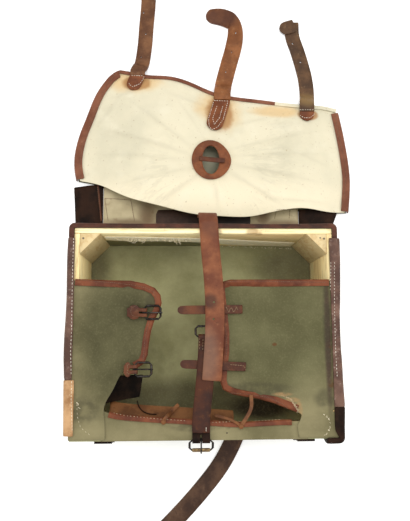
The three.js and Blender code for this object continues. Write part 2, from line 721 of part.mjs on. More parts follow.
const LID_MOUTH = [
  { across: -0.503, along: 0.147 },
  { across: -0.413, along: 0.105 },
  { across: -0.321, along: -0.012 },
  { across: -0.202, along: -0.095 },
  { across: -0.069, along: -0.177 },
  { across: 0.026, along: -0.193 },
  { across: 0.148, along: -0.193 },
  { across: 0.210, along: -0.155 },
  { across: 0.342, along: -0.106 },
  { across: 0.460, along: -0.132 },
  { across: 0.520, along: -0.124 },
];

function lidCurve(table) {
  const points = table.map(({ across, along }) =>
    new THREE.Vector3(LID_SHIFT + across * LID_WIDTH, MOUTH_Y + along * LID_LENGTH, 0));
  return new THREE.CatmullRomCurve3(points, false, 'centripetal');
}

const lidLeft = lidCurve(LID_LEFT_EDGE);
const lidFar = lidCurve(LID_FAR_EDGE);
const lidRight = lidCurve(LID_RIGHT_EDGE);
const lidMouth = lidCurve(LID_MOUTH);

// Place on the flat lid: a runs from the left to the right edge, b from the mouth to the far edge
function lidPlan(a, b) {
  const place = new THREE.Vector3();
  place.addScaledVector(lidMouth.getPointAt(a), 1 - b).addScaledVector(lidFar.getPointAt(a), b);
  place.addScaledVector(lidLeft.getPointAt(b), 1 - a).addScaledVector(lidRight.getPointAt(b), a);
  place.addScaledVector(lidMouth.getPointAt(0), -(1 - a) * (1 - b));
  place.addScaledVector(lidMouth.getPointAt(1), -a * (1 - b));
  place.addScaledVector(lidFar.getPointAt(0), -(1 - a) * b);
  return place.addScaledVector(lidFar.getPointAt(1), -a * b);
}

// Folds of the puffed linen, from one place to another, as shares across and along the pouch.
// Heights and spreads are shares of the puff's height and of the lid's length.
const LID_FOLDS = [
  { fromA: 0.62, fromB: 0.40, toA: 0.88, toB: 0.20, height: 0.10, spread: 0.05 },
  { fromA: 0.20, fromB: 0.88, toA: 0.44, toB: 0.56, height: 0.09, spread: 0.06 },
  { fromA: 0.08, fromB: 0.48, toA: 0.40, toB: 0.50, height: 0.08, spread: 0.05 },
  { fromA: 0.28, fromB: 0.16, toA: 0.50, toB: 0.10, height: 0.10, spread: 0.06 },
  { fromA: 0.53, fromB: 0.26, toA: 0.62, toB: 0.04, height: -0.09, spread: 0.05 },
  { fromA: 0.44, fromB: 0.30, toA: 0.60, toB: 0.60, height: -0.16, spread: 0.15 },
  { fromA: 0.60, fromB: 0.80, toA: 0.80, toB: 0.64, height: 0.07, spread: 0.06 },
];
// Height of the puff from the left to the right of the lid, as a share
const PUFF_PROFILE = [0, 0.34, 0.66, 0.88, 1, 1, 0.9, 0.82, 0.7, 0.4, 0].map((rise) => ({ rise }));

function foldHeight(a, b) {
  return LID_FOLDS.reduce((sum, fold) => {
    const sized = (u, v) => new THREE.Vector2(u * LID_WIDTH, v * LID_LENGTH);
    const reach = sized(fold.toA - fold.fromA, fold.toB - fold.fromB);
    const here = sized(a - fold.fromA, b - fold.fromB);
    const share = Math.min(Math.max(here.dot(reach) / reach.lengthSq(), 0), 1);
    const away = here.addScaledVector(reach, -share).length() / (fold.spread * LID_LENGTH);
    return sum + fold.height * (0.4 + 0.6 * Math.sin(Math.PI * share)) * Math.exp(-away * away);
  }, 0);
}

// Upper face of the linen over the pouch
function lidTop(a, b) {
  const place = lidPlan(a, b);
  const sides = smooth(Math.min(a, 1 - a) / 0.2);
  const held = sides * smooth((1 - b) / 0.4);
  place.z = RIM_HEIGHT + PUFF * held * (column(PUFF_PROFILE, 'rise', a) * (1 - 0.35 * b) + foldHeight(a, b));
  return place;
}

// Shares on the lid that belong to a place in the plan
function lidShares(x, y) {
  let a = 0.5 + (x - LID_SHIFT) / LID_WIDTH;
  let b = 0.5;
  for (let round = 0; round < 30; round += 1) {
    const place = lidPlan(Math.min(Math.max(a, 0), 1), Math.min(Math.max(b, 0), 1));
    a = Math.min(Math.max(a + (0.8 * (x - place.x)) / LID_WIDTH, 0), 1);
    b = Math.min(Math.max(b + (0.8 * (y - place.y)) / LID_LENGTH, 0), 1);
  }
  return [a, b];
}

// Highest place of the linen near a point of the plan, with a clearance
function restOnLid(x, y, clearance = GAP * 2) {
  const reach = THIN_LEATHER;
  const around = [[0, 0], [reach, 0], [-reach, 0], [0, reach], [0, -reach]];
  return clearance + Math.max(...around.map(([dx, dy]) => lidTop(...lidShares(x + dx, y + dy)).z));
}

const LINING_INSET = 6;
const FAR_INSET = 4;
const SHELL_INSET = 3.2;
const ringCenter = { x: LID_SHIFT - 1, y: MOUTH_Y + LID_LENGTH * 0.295 };

function buildLidCloth() {
  const sideInset = LINING_INSET / LID_WIDTH;
  const farInset = FAR_INSET / LID_LENGTH;
  const grid = gridOf((u, v) => lidTop(sideInset + u * (1 - 2 * sideInset), v * (1 - farInset)), 22, 12);
  const hole = ellipse(ringCenter.x, ringCenter.y, RING_HOLE_WIDTH + 2, RING_HOLE_HEIGHT + 2, 16);
  const leftLeather = lidEdging(leftEdgePlaces(), LID_EDGING, GAP);
  const lining = cutToOne(sheetUnder(grid, LINEN), prism(hole, 0, RIM_HEIGHT + PUFF * 2), leftLeather);
  addPiece(lid, 'lid_lining', lining, 'linen');

  const inset = SHELL_INSET / LID_WIDTH;
  const edge = (count, place) => Array.from({ length: count }, (_, index) => place(index / count));
  const outline = [
    ...edge(10, (share) => lidPlan(1 - inset, share * (1 - inset * 2))),
    ...edge(16, (share) => lidPlan(1 - inset - share * (1 - 2 * inset), 1 - inset * 2)),
    ...edge(10, (share) => lidPlan(inset, (1 - share) * (1 - inset * 2))),
    ...edge(16, (share) => lidPlan(inset + share * (1 - 2 * inset), 0)),
  ].map((point) => [point.x, point.y]);
  const half = ROOF_WIDTH / 2;
  const roof = block([-half, HINGE_Y, 0], [half, MOUTH_Y + LID_LENGTH * 0.3, CANVAS]);
  addPiece(lid, 'lid_shell', cut(join(prism(outline, 0, CANVAS), roof), leftLeather), 'canvas');

  const roofTop = CANVAS + GAP + LINEN;
  const wave = (u, v) => new THREE.Vector3(
    THREE.MathUtils.lerp(-half + 2, half - 2, u),
    THREE.MathUtils.lerp(HINGE_Y + GAP, MOUTH_Y + LID_LENGTH * 0.22, v),
    roofTop,
  );
  addPiece(lid, 'roof_lining', sheetUnder(gridOf(wave, 6, 3), LINEN), 'linen');
  const bandLeft = -BAND_LENGTH * 0.48;
  const bandNear = HINGE_Y + BAND_WIDTH * 0.65;
  const bandTop = roofTop + GAP + LEATHER;
  const band = block(
    [bandLeft, bandNear, roofTop + GAP],
    [bandLeft + BAND_LENGTH, bandNear + BAND_WIDTH, bandTop],
  );
  addPiece(lid, 'roof_band', band, 'black_leather');
}

// Leather edgings of the lid, folded from the floor over the rim of the linen

function lidEdgingOutline(leg, grow = 0) {
  const rim = RIM_HEIGHT;
  const wall = THIN_LEATHER + grow;
  return [
    [-wall, -grow], [grow, -grow], [grow, rim * 0.7], [-leg * 0.12 - 0.4, rim + 1.4 + grow],
    [-leg * 0.45, rim + 2.4 + grow], [-leg - grow, rim + 1.2 + THIN_LEATHER + grow],
    [-leg - grow, rim + 1.2 - grow], [-leg * 0.45, rim + 0.6 - grow],
    [-wall - GAP, rim - 0.4 - grow], [-wall, rim * 0.6],
  ];
}

function edgePlaces(curve, from, to, steps) {
  return Array.from({ length: steps + 1 }, (_, step) => {
    const share = THREE.MathUtils.lerp(from, to, step / steps);
    const ahead = curve.getTangentAt(share).multiplyScalar(Math.sign(to - from));
    return { point: curve.getPointAt(share), outward: UP.clone().cross(ahead).normalize() };
  });
}

function lidEdging(places, leg, grow = 0) {
  const outline = lidEdgingOutline(leg, grow);
  return sweep(places.map(({ point, outward }) => sectionAt(point, outward, UP, outline)), outline);
}

const FAR_START = 0.055;
const RIGHT_END = 0.965;

function leftEdgePlaces() {
  return [...edgePlaces(lidLeft, 0, 0.98, 9), ...edgePlaces(lidFar, 0.004, FAR_START, 3)];
}

function buildLidEdgings() {
  addPiece(lid, 'lid_edging_left', lidEdging(leftEdgePlaces(), LID_EDGING), 'chestnut');
  const share = GAP / lidFar.getLength();
  const far = edgePlaces(lidFar, FAR_START + share, 1 - share * 8, 16);
  addPiece(lid, 'lid_edging_far', lidEdging(far, LID_EDGING_FAR + 2), 'chestnut');
  const right = lidEdging(edgePlaces(lidRight, RIGHT_END, 0, 10), LID_EDGING);
  addPiece(lid, 'lid_edging_right', right, 'chestnut');
}

function buildWings() {
  const rows = [
    { name: 'lid_wing_left', hand: -1, farInner: 0.12, farOuter: 0.09, root: 1.14, flare: 1.26, tuck: 0.7 },
    { name: 'lid_wing_right', hand: 1, farInner: -0.10, farOuter: -0.07, root: 1, flare: 1.5, tuck: 0.45 },
  ];
  for (const { name, hand, farInner, farOuter, root, flare, tuck } of rows) {
    const innerX = hand * (ROOF_WIDTH / 2 + GAP);
    const near = HINGE_Y + GAP * 10;
    const surface = (u, v) => {
      const out = hand > 0 ? u : 1 - u;
      const far = MOUTH_Y + LID_LENGTH * THREE.MathUtils.lerp(farInner, farOuter, out);
      const wide = WING_WIDTH * THREE.MathUtils.lerp(root, flare, v);
      const arch = Math.sin(Math.PI * Math.min(out * 1.15, 1)) * (0.45 + 0.55 * v);
      const tucked = smooth((v - tuck) / 0.3);
      const rise = LEATHER + WING_ARCH * arch * (1 - 0.75 * tucked) + (CANVAS + GAP * 2) * tucked;
      return new THREE.Vector3(innerX + hand * wide * out, THREE.MathUtils.lerp(near, far, v), rise);
    };
    addPiece(lid, name, sheetUnder(gridOf(surface, 6, 4), LEATHER), 'black_leather');
  }
}

// Leather ring round the hole in the linen, with a narrow bar across it

function buildRing() {
  const turns = 20;
  const outline = [[0, 0], [1, 0], [1, 1], [0, 1]];
  const sections = Array.from({ length: turns }, (_, index) => {
    const turn = (-2 * Math.PI * index) / turns;
    const beak = 1 + 0.08 * Math.max(Math.cos(turn), 0) ** 6;
    const onOval = (width, height) => [
      ringCenter.x + (width / 2) * Math.cos(turn),
      ringCenter.y + (height / 2) * Math.sin(turn),
    ];
    const inner = onOval(RING_HOLE_WIDTH, RING_HOLE_HEIGHT);
    const outer = onOval(RING_WIDTH * beak, RING_HEIGHT);
    const low = [restOnLid(...inner), restOnLid(...outer)];
    return [
      new THREE.Vector3(...inner, low[0]), new THREE.Vector3(...outer, low[1]),
      new THREE.Vector3(...outer, low[1] + THIN_LEATHER), new THREE.Vector3(...inner, low[0] + LEATHER),
    ];
  });
  addPiece(lid, 'ring_rim', sweep(sections, outline, true), 'chestnut');
  const barY = ringCenter.y;
  const ends = [-0.3, -0.22, 0, 0.22, 0.36].map((share) => {
    const x = ringCenter.x + share * RING_WIDTH;
    const rest = Math.max(restOnLid(x, barY), restOnLid(ringCenter.x, barY));
    return [x, barY - share * THONG_WIDTH, rest + LEATHER + GAP];
  });
  const bar = strap({ route: ends, width: RING_BAR_WIDTH, thickness: THIN_LEATHER, steps: 6 });
  addPiece(lid, 'ring_bar', bar, 'chestnut');
}

// Lid straps. at is the share along the far edge, inside the distance of the sewn seam from the edge,
// patch and slant the sewn end's length and sideways lean, all as shares of the strap's width.
// Routes are shares of the strap's length to the side, ahead and up, with a roll in degrees.
const LID_STRAPS = [
  {
    name: 'left', at: 0.136, inside: 0.27, patch: 1.0, slant: -0.45, tip: 'round',
    width: LID_STRAP_WIDTH, length: LID_STRAP_LENGTH,
    route: [[0.018, 0.084, 0.036, 0], [0.028, 0.122, 0.003, 0], [0.036, 0.16, 0, 0], [0.055, 0.31, 0, 0],
      [0.065, 0.47, 0, 0], [0.08, 0.66, 0, 0], [0.085, 0.82, 0, 0], [0.085, 1, 0, 0]],
  },
  {
    name: 'center', at: 0.505, inside: 0.41, patch: 2.1, slant: -0.62, tip: 'round',
    width: CENTER_LID_STRAP_WIDTH, length: LID_STRAP_LENGTH,
    route: [[0.01, 0.115, 0.036, 0], [0.014, 0.155, 0.004, 0], [0.025, 0.2, 0, 0], [0.062, 0.34, 0, 0],
      [0.106, 0.5, 0.004, 0], [0.124, 0.61, 0.03, -28], [0.106, 0.70, 0.052, -52], [0.035, 0.752, 0.03, -30],
      [-0.05, 0.78, 0.006, -4], [-0.13, 0.775, 0, 0]],
  },
  {
    name: 'right', at: 0.862, inside: 0.58, patch: 0.66, slant: -0.05, tip: 'square',
    width: LID_STRAP_WIDTH, length: LID_STRAP_LENGTH,
    route: [[0.01, 0.118, 0.036, 0], [0.016, 0.155, 0.003, 0], [0.017, 0.2, 0, 0], [0.004, 0.33, 0, 0],
      [-0.018, 0.43, 0, 0], [-0.055, 0.57, 0, 0], [-0.095, 0.7, 0, 0], [-0.1, 0.83, 0, 0]],
  },
];

function buildLidStraps() {
  for (const row of LID_STRAPS) {
    const edge = lidFar.getPointAt(row.at);
    const seamY = edge.y - row.inside * row.width;
    const top = RIM_HEIGHT + LEATHER + THIN_LEATHER;
    const patchLength = row.patch * row.width;
    const slant = row.slant * row.width;
    const clear = Math.max(LID_EDGING_FAR * 2 - row.inside * row.width, 1);
    const settled = Math.min((clear + LEATHER * 2) / patchLength, 0.7);
    const patchRoute = [0, clear / patchLength, settled, (settled + 1) / 2, 1].map((share, index) => {
      const x = edge.x + slant * share;
      const y = seamY - GAP - patchLength * share;
      return [x, y, index < 2 ? top : restOnLid(x, y, GAP * 3.8)];
    });
    const patch = strap({
      route: patchRoute, width: row.width * 0.98, thickness: THIN_LEATHER, steps: 6, tip: 'round',
      startSide: LEFTWARD,
    });
    addPiece(lid, `lid_strap_patch_${row.name}`, patch, 'chestnut');
    const route = [
      [edge.x, seamY, top],
      [edge.x, edge.y + LEATHER, top],
      ...row.route.map(([aside, ahead, lift, roll]) =>
        [edge.x + aside * row.length, seamY + ahead * row.length, lift * row.length, roll]),
    ];
    let body = strap({ route, width: row.width, steps: 26, tip: row.tip, startSide: RIGHTWARD });
    if (row.name === 'right') {
      const end = route[route.length - 1];
      const fold = [
        [end[0] + row.width * 0.2, end[1] - row.width * 0.25, LEATHER * 0.6],
        [end[0] - row.width * 0.2, end[1] - row.width * 0.4, LEATHER * 1.1],
        [end[0] - row.width * 0.85, end[1] - row.width * 0.62, LEATHER * 1.1],
      ];
      body = join(body, strap({ route: fold, width: row.width * 0.95, steps: 5, tip: 'round' }));
    }
    addPiece(lid, `lid_strap_${row.name}`, body, 'chestnut');
  }
}

// Straps on the front of the box. Their undersides follow what they lie on.

const CENTER_X = FRAME_WIDTH * 0.02;
const STRAP_LEVEL = HIGH_FLAP + CANVAS + GAP;
const CLOSURE_UPPER_Y = FRAME_HEIGHT * 0.104;
const CLOSURE_LOWER_Y = -FRAME_HEIGHT * 0.17;
const LOWER_BUCKLE_Y = -FRAME_HEIGHT * 0.026;
const CLOSURE_STRAPS = [
  { name: 'closure_strap_upper', y: CLOSURE_UPPER_Y, across: 0.145, lean: 0.01 },
  { name: 'closure_strap_lower', y: CLOSURE_LOWER_Y, across: 0.155, lean: -0.05 },
];

// Height of a flap's upper face at a place of the plan
function heightOn(flap, x, y) {
  let low = 0;
  let high = 1;
  let u = 0;
  for (let round = 0; round < 20; round += 1) {
    const v = (low + high) / 2;
    const start = flap(0, v).x;
    u = Math.min(Math.max((x - start) / (flap(1, v).x - start), 0), 1);
    if (flap(u, v).y < y) low = v;
    else high = v;
  }
  return flap(u, low).z;
}

function buildFrontStraps() {
  const rise = HALF_HEIGHT + BINDING_REACH;
  const root = CANVAS + GAP + LINEN + GAP;
  const centerRoute = [
    [-1.5, HINGE_Y + ROOF_LENGTH * 1.14, root],
    [-1.4, HINGE_Y + ROOF_LENGTH * 0.92, root + 0.2],
    [-1.3, HINGE_Y + ROOF_LENGTH * 0.76, root + LEATHER * 2.2],
    [-1.2, HINGE_Y + ROOF_LENGTH * 0.55, FRONT * 0.14],
    [-1.3, HINGE_Y + ROOF_LENGTH * 0.42, FRONT * 0.34],
    [-1.4, HINGE_Y + ROOF_LENGTH * 0.35, FRONT * 0.62],
    [-1.6, HINGE_Y + ROOF_LENGTH * 0.32, FRONT * 0.86],
    [-1.8, rise + LEATHER * 3.4, FRONT],
    [-1.4, rise + LEATHER, STRAP_LEVEL],
    [-0.8, HALF_HEIGHT, STRAP_LEVEL],
    [1.0, HALF_HEIGHT * 0.78, STRAP_LEVEL],
    [4.4, HALF_HEIGHT * 0.5, STRAP_LEVEL - GAP],
    [6.0, HALF_HEIGHT * 0.24, STRAP_LEVEL],
    [5.6, 0, STRAP_LEVEL + THIN_LEATHER / 2],
    [3.4, HALF_HEIGHT - CENTER_STRAP_TAIL * 0.87, STRAP_LEVEL + THIN_LEATHER / 2],
    [1.4, HALF_HEIGHT - CENTER_STRAP_TAIL, STRAP_LEVEL + THIN_LEATHER / 2],
  ].map(([aside, y, z]) => [CENTER_X + aside, y, z]);
  const center = strap({ route: centerRoute, width: CENTER_STRAP_WIDTH, steps: 34, holdSide: LEFTWARD });
  addPiece(box, 'center_strap', center, 'chestnut');

  for (const { name, y, across, lean } of CLOSURE_STRAPS) {
    const rootX = FRAME_WIDTH * across;
    const route = [0, 0.16, 0.3, 0.42, 0.6, 0.8, 1].map((share) => {
      const x = rootX - CLOSURE_STRAP_LENGTH * share;
      const placeY = y - CLOSURE_STRAP_LENGTH * lean * share;
      const flapX = Math.max(x, FRAME_WIDTH * 0.08);
      const over = share > 0.12 ? THIN_LEATHER + GAP : 0;
      return [x, placeY, heightOn(rightFlap, flapX, placeY) + over + GAP * 2.3];
    });
    const piece = strap({ route, width: CLOSURE_STRAP_WIDTH, thickness: LEATHER, steps: 12, tip: 'round' });
    addPiece(box, name, piece, 'chestnut');
  }
}

// Buckles, made lying flat: the bar along Y at the origin, the far side towards +X

const CHAPE_RISE = WIRE / 2 + GAP + THIN_LEATHER;
const EYE_REACH = WIRE / 2 + GAP + PRONG;

function buckleFrame(width, length) {
  const bend = WIRE;
  const near = width / 2 - bend;
  const far = length - bend;
  const centers = [[far, near], [far, -near], [bend, -near], [bend, near]];
  const outline = roundOutline(WIRE, 6);
  const sections = centers.flatMap(([x, y], corner) => [0, 1].map((step) => {
    const turn = (Math.PI / 2) * (1 - corner - step);
    const outward = new THREE.Vector3(Math.cos(turn), Math.sin(turn), 0);
    return sectionAt(new THREE.Vector3(x, y, 0).addScaledVector(outward, bend), outward, UP, outline);
  }));
  return sweep(sections, outline, true);
}

// A prong: an eye round the bar and a pin that ends over the far side at the given height
function buckleProng(length, restHeight) {
  const radius = WIRE / 2 + GAP + PRONG / 2;
  const outline = roundOutline(PRONG, 5);
  const along = new THREE.Vector3(0, 1, 0);
  const turns = 8;
  const eye = Array.from({ length: turns }, (_, index) => {
    const turn = (2 * Math.PI * index) / turns;
    const outward = new THREE.Vector3(Math.cos(turn), 0, Math.sin(turn));
    return sectionAt(outward.clone().multiplyScalar(radius), outward, along, outline);
  });
  const pin = [
    new THREE.Vector3(radius * 0.6, 0, radius * 0.8),
    new THREE.Vector3(length * 0.5, 0, Math.max(restHeight, radius * 0.8)),
    new THREE.Vector3(length + WIRE * 0.8, 0, restHeight),
  ];
  return join(sweep(eye, outline, true), wire(pin, PRONG, 4, 5));
}

// A frame whose prong is seated on its far side
function closedBuckle(width) {
  const seated = (WIRE + PRONG) * 0.35;
  return join(buckleFrame(width, STRAP_BUCKLE_LENGTH), buckleProng(STRAP_BUCKLE_LENGTH, seated));
}

// Leather folded round the bar and sewn flat behind it, with a slot for the prong.
// A rounded end can be joined to it.
function chapeLoop(width, tail, end) {
  const rise = CHAPE_RISE;
  const hole = WIRE / 2 + GAP;
  const double = THIN_LEATHER * 2 - rise;
  const quarter = Math.PI / 2;
  const arc = (radius, steps) => Array.from({ length: steps + 1 }, (_, step) => {
    const turn = quarter * ((2 * step) / steps - 1);
    return [radius * Math.cos(turn), radius * Math.sin(turn)];
  });
  const asPoints = (corners) => corners.map(([x, y]) => new THREE.Vector2(x, y));
  const outside = [
    [-tail, -rise], ...arc(rise, 5), [-rise * 1.2, rise * 0.8], [-rise * 2.5, double], [-tail, double],
  ];
  const inside = [
    ...arc(hole * 1.06, 3), [-rise, hole * 0.42], [-rise * 1.7, double - THIN_LEATHER],
    [-rise * 0.8, -hole],
  ];
  const shape = new THREE.Shape(asPoints(outside));
  shape.holes.push(new THREE.Path(asPoints(inside)));
  const loop = new THREE.ExtrudeGeometry(shape, { depth: width, bevelEnabled: false });
  loop.rotateX(quarter).translate(0, width / 2, 0);
  const slot = PRONG / 2 + GAP;
  const whole = end ? join(loop, end) : loop;
  return cut(whole, block([-EYE_REACH - PRONG * 1.7, -slot, -rise * 2], [rise * 2, slot, rise * 2]));
}

function placed(x, y, z, turn = 0, tilt = 0) {
  const group = new THREE.Group();
  group.position.set(x, y, z);
  group.rotation.set(0, tilt, turn, 'ZYX');
  box.add(group);
  return group;
}

// A group whose floor lies on a flap. It takes the flap's slope to the right over a given reach
// and a share of its slope ahead.
function seatedOn(flap, x, y, reach, lean) {
  const at = (dx, dy) => heightOn(flap, x + dx * reach, y + dy * reach);
  const along = new THREE.Vector3(reach * 2, 0, at(1, 0) - at(-1, 0)).normalize();
  const across = new THREE.Vector3(0, reach * 2, lean * (at(0, 1) - at(0, -1)));
  const normal = along.clone().cross(across).normalize();
  const group = placed(x, y, (at(1, 0) + at(-1, 0) + at(0, 1) + at(0, -1)) / 4);
  group.setRotationFromMatrix(new THREE.Matrix4().makeBasis(along, normal.clone().cross(along), normal));
  group.translateZ(EYE_REACH + GAP * 3);
  return group;
}

const FLAP_BUCKLES = [
  { name: 'upper', across: -0.230, up: 0.094, tail: 1.0, lean: 1 },
  { name: 'lower', across: -0.262, up: -0.181, tail: 0.64, lean: 0.3 },
];

function buildFlapBuckles() {
  const rest = WIRE / 2 + GAP + PRONG / 2;
  for (const { name, across, up, tail, lean } of FLAP_BUCKLES) {
    const tailLength = TAB_LENGTH * tail;
    const group = seatedOn(leftFlap, across * FRAME_WIDTH, up * FRAME_HEIGHT, tailLength * 0.5, lean);
    const root = CHAPE_RISE * 1.4;
    const round = ellipse(-(tailLength + root) / 2, 0, tailLength - root, TAB_WIDTH, 12);
    const end = prism(round, -CHAPE_RISE, THIN_LEATHER * 2 - CHAPE_RISE);
    const chape = chapeLoop(FLAP_BUCKLE_WIDTH - WIRE * 2 - GAP * 2, tailLength, end);
    addPiece(group, `flap_chape_${name}`, chape, 'chestnut');
    addPiece(group, `flap_buckle_${name}`, buckleFrame(FLAP_BUCKLE_WIDTH, FLAP_BUCKLE_LENGTH), 'iron');
    addPiece(group, `flap_prong_${name}`, buckleProng(FLAP_BUCKLE_LENGTH, rest), 'iron');
  }
}

// The lower strap ends in a buckle at its top and is sewn over the bottom buckle's chape
function buildLowerStrap() {
  const frameWidth = LOWER_STRAP_WIDTH + WIRE * 2 + GAP * 2;
  const quarter = Math.PI / 2;
  const topX = CENTER_X - LEATHER * 1.6;
  const barZ = STRAP_LEVEL + THIN_LEATHER / 2 - GAP - EYE_REACH;
  const bottomX = CENTER_X - LEATHER * 4.9;
  const bottomY = -HALF_HEIGHT - WALL_OUT + GAP * 2;
  const chapeZ = LOW_FLAP + CANVAS + EYE_REACH + GAP;
  const tail = CHAPE_LENGTH;
  const lapY = bottomY + CHAPE_RISE * 2.7;
  const lapZ = chapeZ - CHAPE_RISE + THIN_LEATHER * 2 + GAP;
  const overClosure = heightOn(rightFlap, FRAME_WIDTH * 0.08, CLOSURE_LOWER_Y)
    + THIN_LEATHER + LEATHER + GAP * 5;
  const route = [
    [bottomX, lapY, lapZ],
    [bottomX - 0.3, bottomY + tail, lapZ - GAP * 0.5],
    [bottomX + 0.5, -HALF_HEIGHT * 0.78, LOW_FLAP + CANVAS + LEATHER],
    [bottomX + 3.4, -HALF_HEIGHT * 0.58, overClosure + LEATHER * 0.3],
    [topX - 2.6, CLOSURE_LOWER_Y - CLOSURE_STRAP_WIDTH, overClosure],
    [topX - 1.0, CLOSURE_LOWER_Y + CLOSURE_STRAP_WIDTH * 0.9, overClosure],
    [topX, LOWER_BUCKLE_Y - tail * 0.95, barZ - CHAPE_RISE + GAP],
  ];
  const loop = chapeLoop(LOWER_STRAP_WIDTH - GAP, tail);
  loop.rotateZ(quarter).translate(topX, LOWER_BUCKLE_Y, barZ);
  const body = strap({ route, width: LOWER_STRAP_WIDTH, steps: 15, startSide: RIGHTWARD });
  addPiece(box, 'lower_strap', join(body, loop), 'chestnut');

  const top = placed(topX, LOWER_BUCKLE_Y, barZ, quarter);
  addPiece(top, 'lower_strap_buckle', closedBuckle(frameWidth), 'iron');

  const bottom = placed(bottomX, bottomY, chapeZ, -quarter);
  addPiece(bottom, 'bottom_chape', chapeLoop(LOWER_STRAP_WIDTH - GAP, tail), 'black_leather');
  const drooping = placed(bottomX, bottomY, chapeZ, -quarter, THREE.MathUtils.degToRad(22));
  const roller = new THREE.CylinderGeometry(ROLLER / 2, ROLLER / 2, LOWER_STRAP_WIDTH - GAP * 2, 10);
  roller.translate(STRAP_BUCKLE_LENGTH, 0, 0);
  addPiece(drooping, 'bottom_buckle', join(buckleFrame(frameWidth, STRAP_BUCKLE_LENGTH), roller), 'iron');
  const onRoller = ROLLER / 2 + GAP + PRONG / 2;
  addPiece(drooping, 'bottom_prong', buckleProng(STRAP_BUCKLE_LENGTH, onRoller), 'iron');
}

// Plain buckles for the side lid straps, on chapes sewn to the bottom wall
const SIDE_BUCKLES = [{ name: 'left', across: -0.38 }, { name: 'right', across: 0.382 }];

function buildSideBuckles() {
  const frameWidth = LID_STRAP_WIDTH + WIRE * 2 + GAP * 2;
  const downward = new THREE.Matrix4().makeBasis(
    new THREE.Vector3(0, 0, -1), new THREE.Vector3(1, 0, 0), new THREE.Vector3(0, -1, 0),
  );
  const drop = CHAPE_LENGTH * 2;
  for (const { name, across } of SIDE_BUCKLES) {
    const barY = -HALF_HEIGHT - WALL_OUT - EYE_REACH - GAP;
    const group = placed(across * FRAME_WIDTH, barY, FRONT - BINDING_DROP * 0.4 - drop);
    group.setRotationFromMatrix(downward);
    addPiece(group, `side_chape_${name}`, chapeLoop(LID_STRAP_WIDTH - GAP, drop), 'black_leather');
    addPiece(group, `side_buckle_${name}`, closedBuckle(frameWidth), 'iron');
  }
}

// The shoulder strap is sewn to the bottom wall, bends to the floor and runs out to the left
function buildShoulderStrap() {
  const wallY = -HALF_HEIGHT - WALL_OUT - GAP;
  const rootX = FRAME_WIDTH * 0.16;
  const reach = SHOULDER_STRAP_REACH;
  const route = [
    [rootX, wallY, FRONT * 0.8],
    [rootX, wallY, FRONT * 0.45],
    [rootX - 1, wallY, FRONT * 0.16],
    [rootX - 2.5, wallY - LEATHER * 0.8, FRONT * 0.06],
    [rootX - 5, wallY - reach * 0.045, LEATHER * 0.7],
    [rootX - 9, wallY - reach * 0.11, 0.01],
    [rootX - reach * 0.17, wallY - reach * 0.315, 0],
    [rootX - reach * 0.36, wallY - reach * 0.55, 0],
    [rootX - reach * 0.6, wallY - reach * 0.8, 0],
    [rootX - reach * 0.82, wallY - reach, 0],
  ];
  const piece = strap({ route, width: SHOULDER_STRAP_WIDTH, steps: 26, holdSide: LEFTWARD });
  addPiece(box, 'shoulder_strap', piece, 'black_leather');
}

// Leather thongs at the rim of the bottom flap, each with a knot on the rim

function knot(x, y, z) {
  return new THREE.IcosahedronGeometry(THONG_WIDTH * 0.75, 1).scale(1, 1, 0.6).translate(x, y, z);
}

// Free edge of the bottom flap above or below a place of the plan
function rimPoint(x) {
  const reach = FRAME_WIDTH * 0.77;
  let u = 0.5 + x / reach;
  for (let round = 0; round < 10; round += 1) u += (x - bottomFlap(u, 1).x) / reach;
  return bottomFlap(u, 1);
}

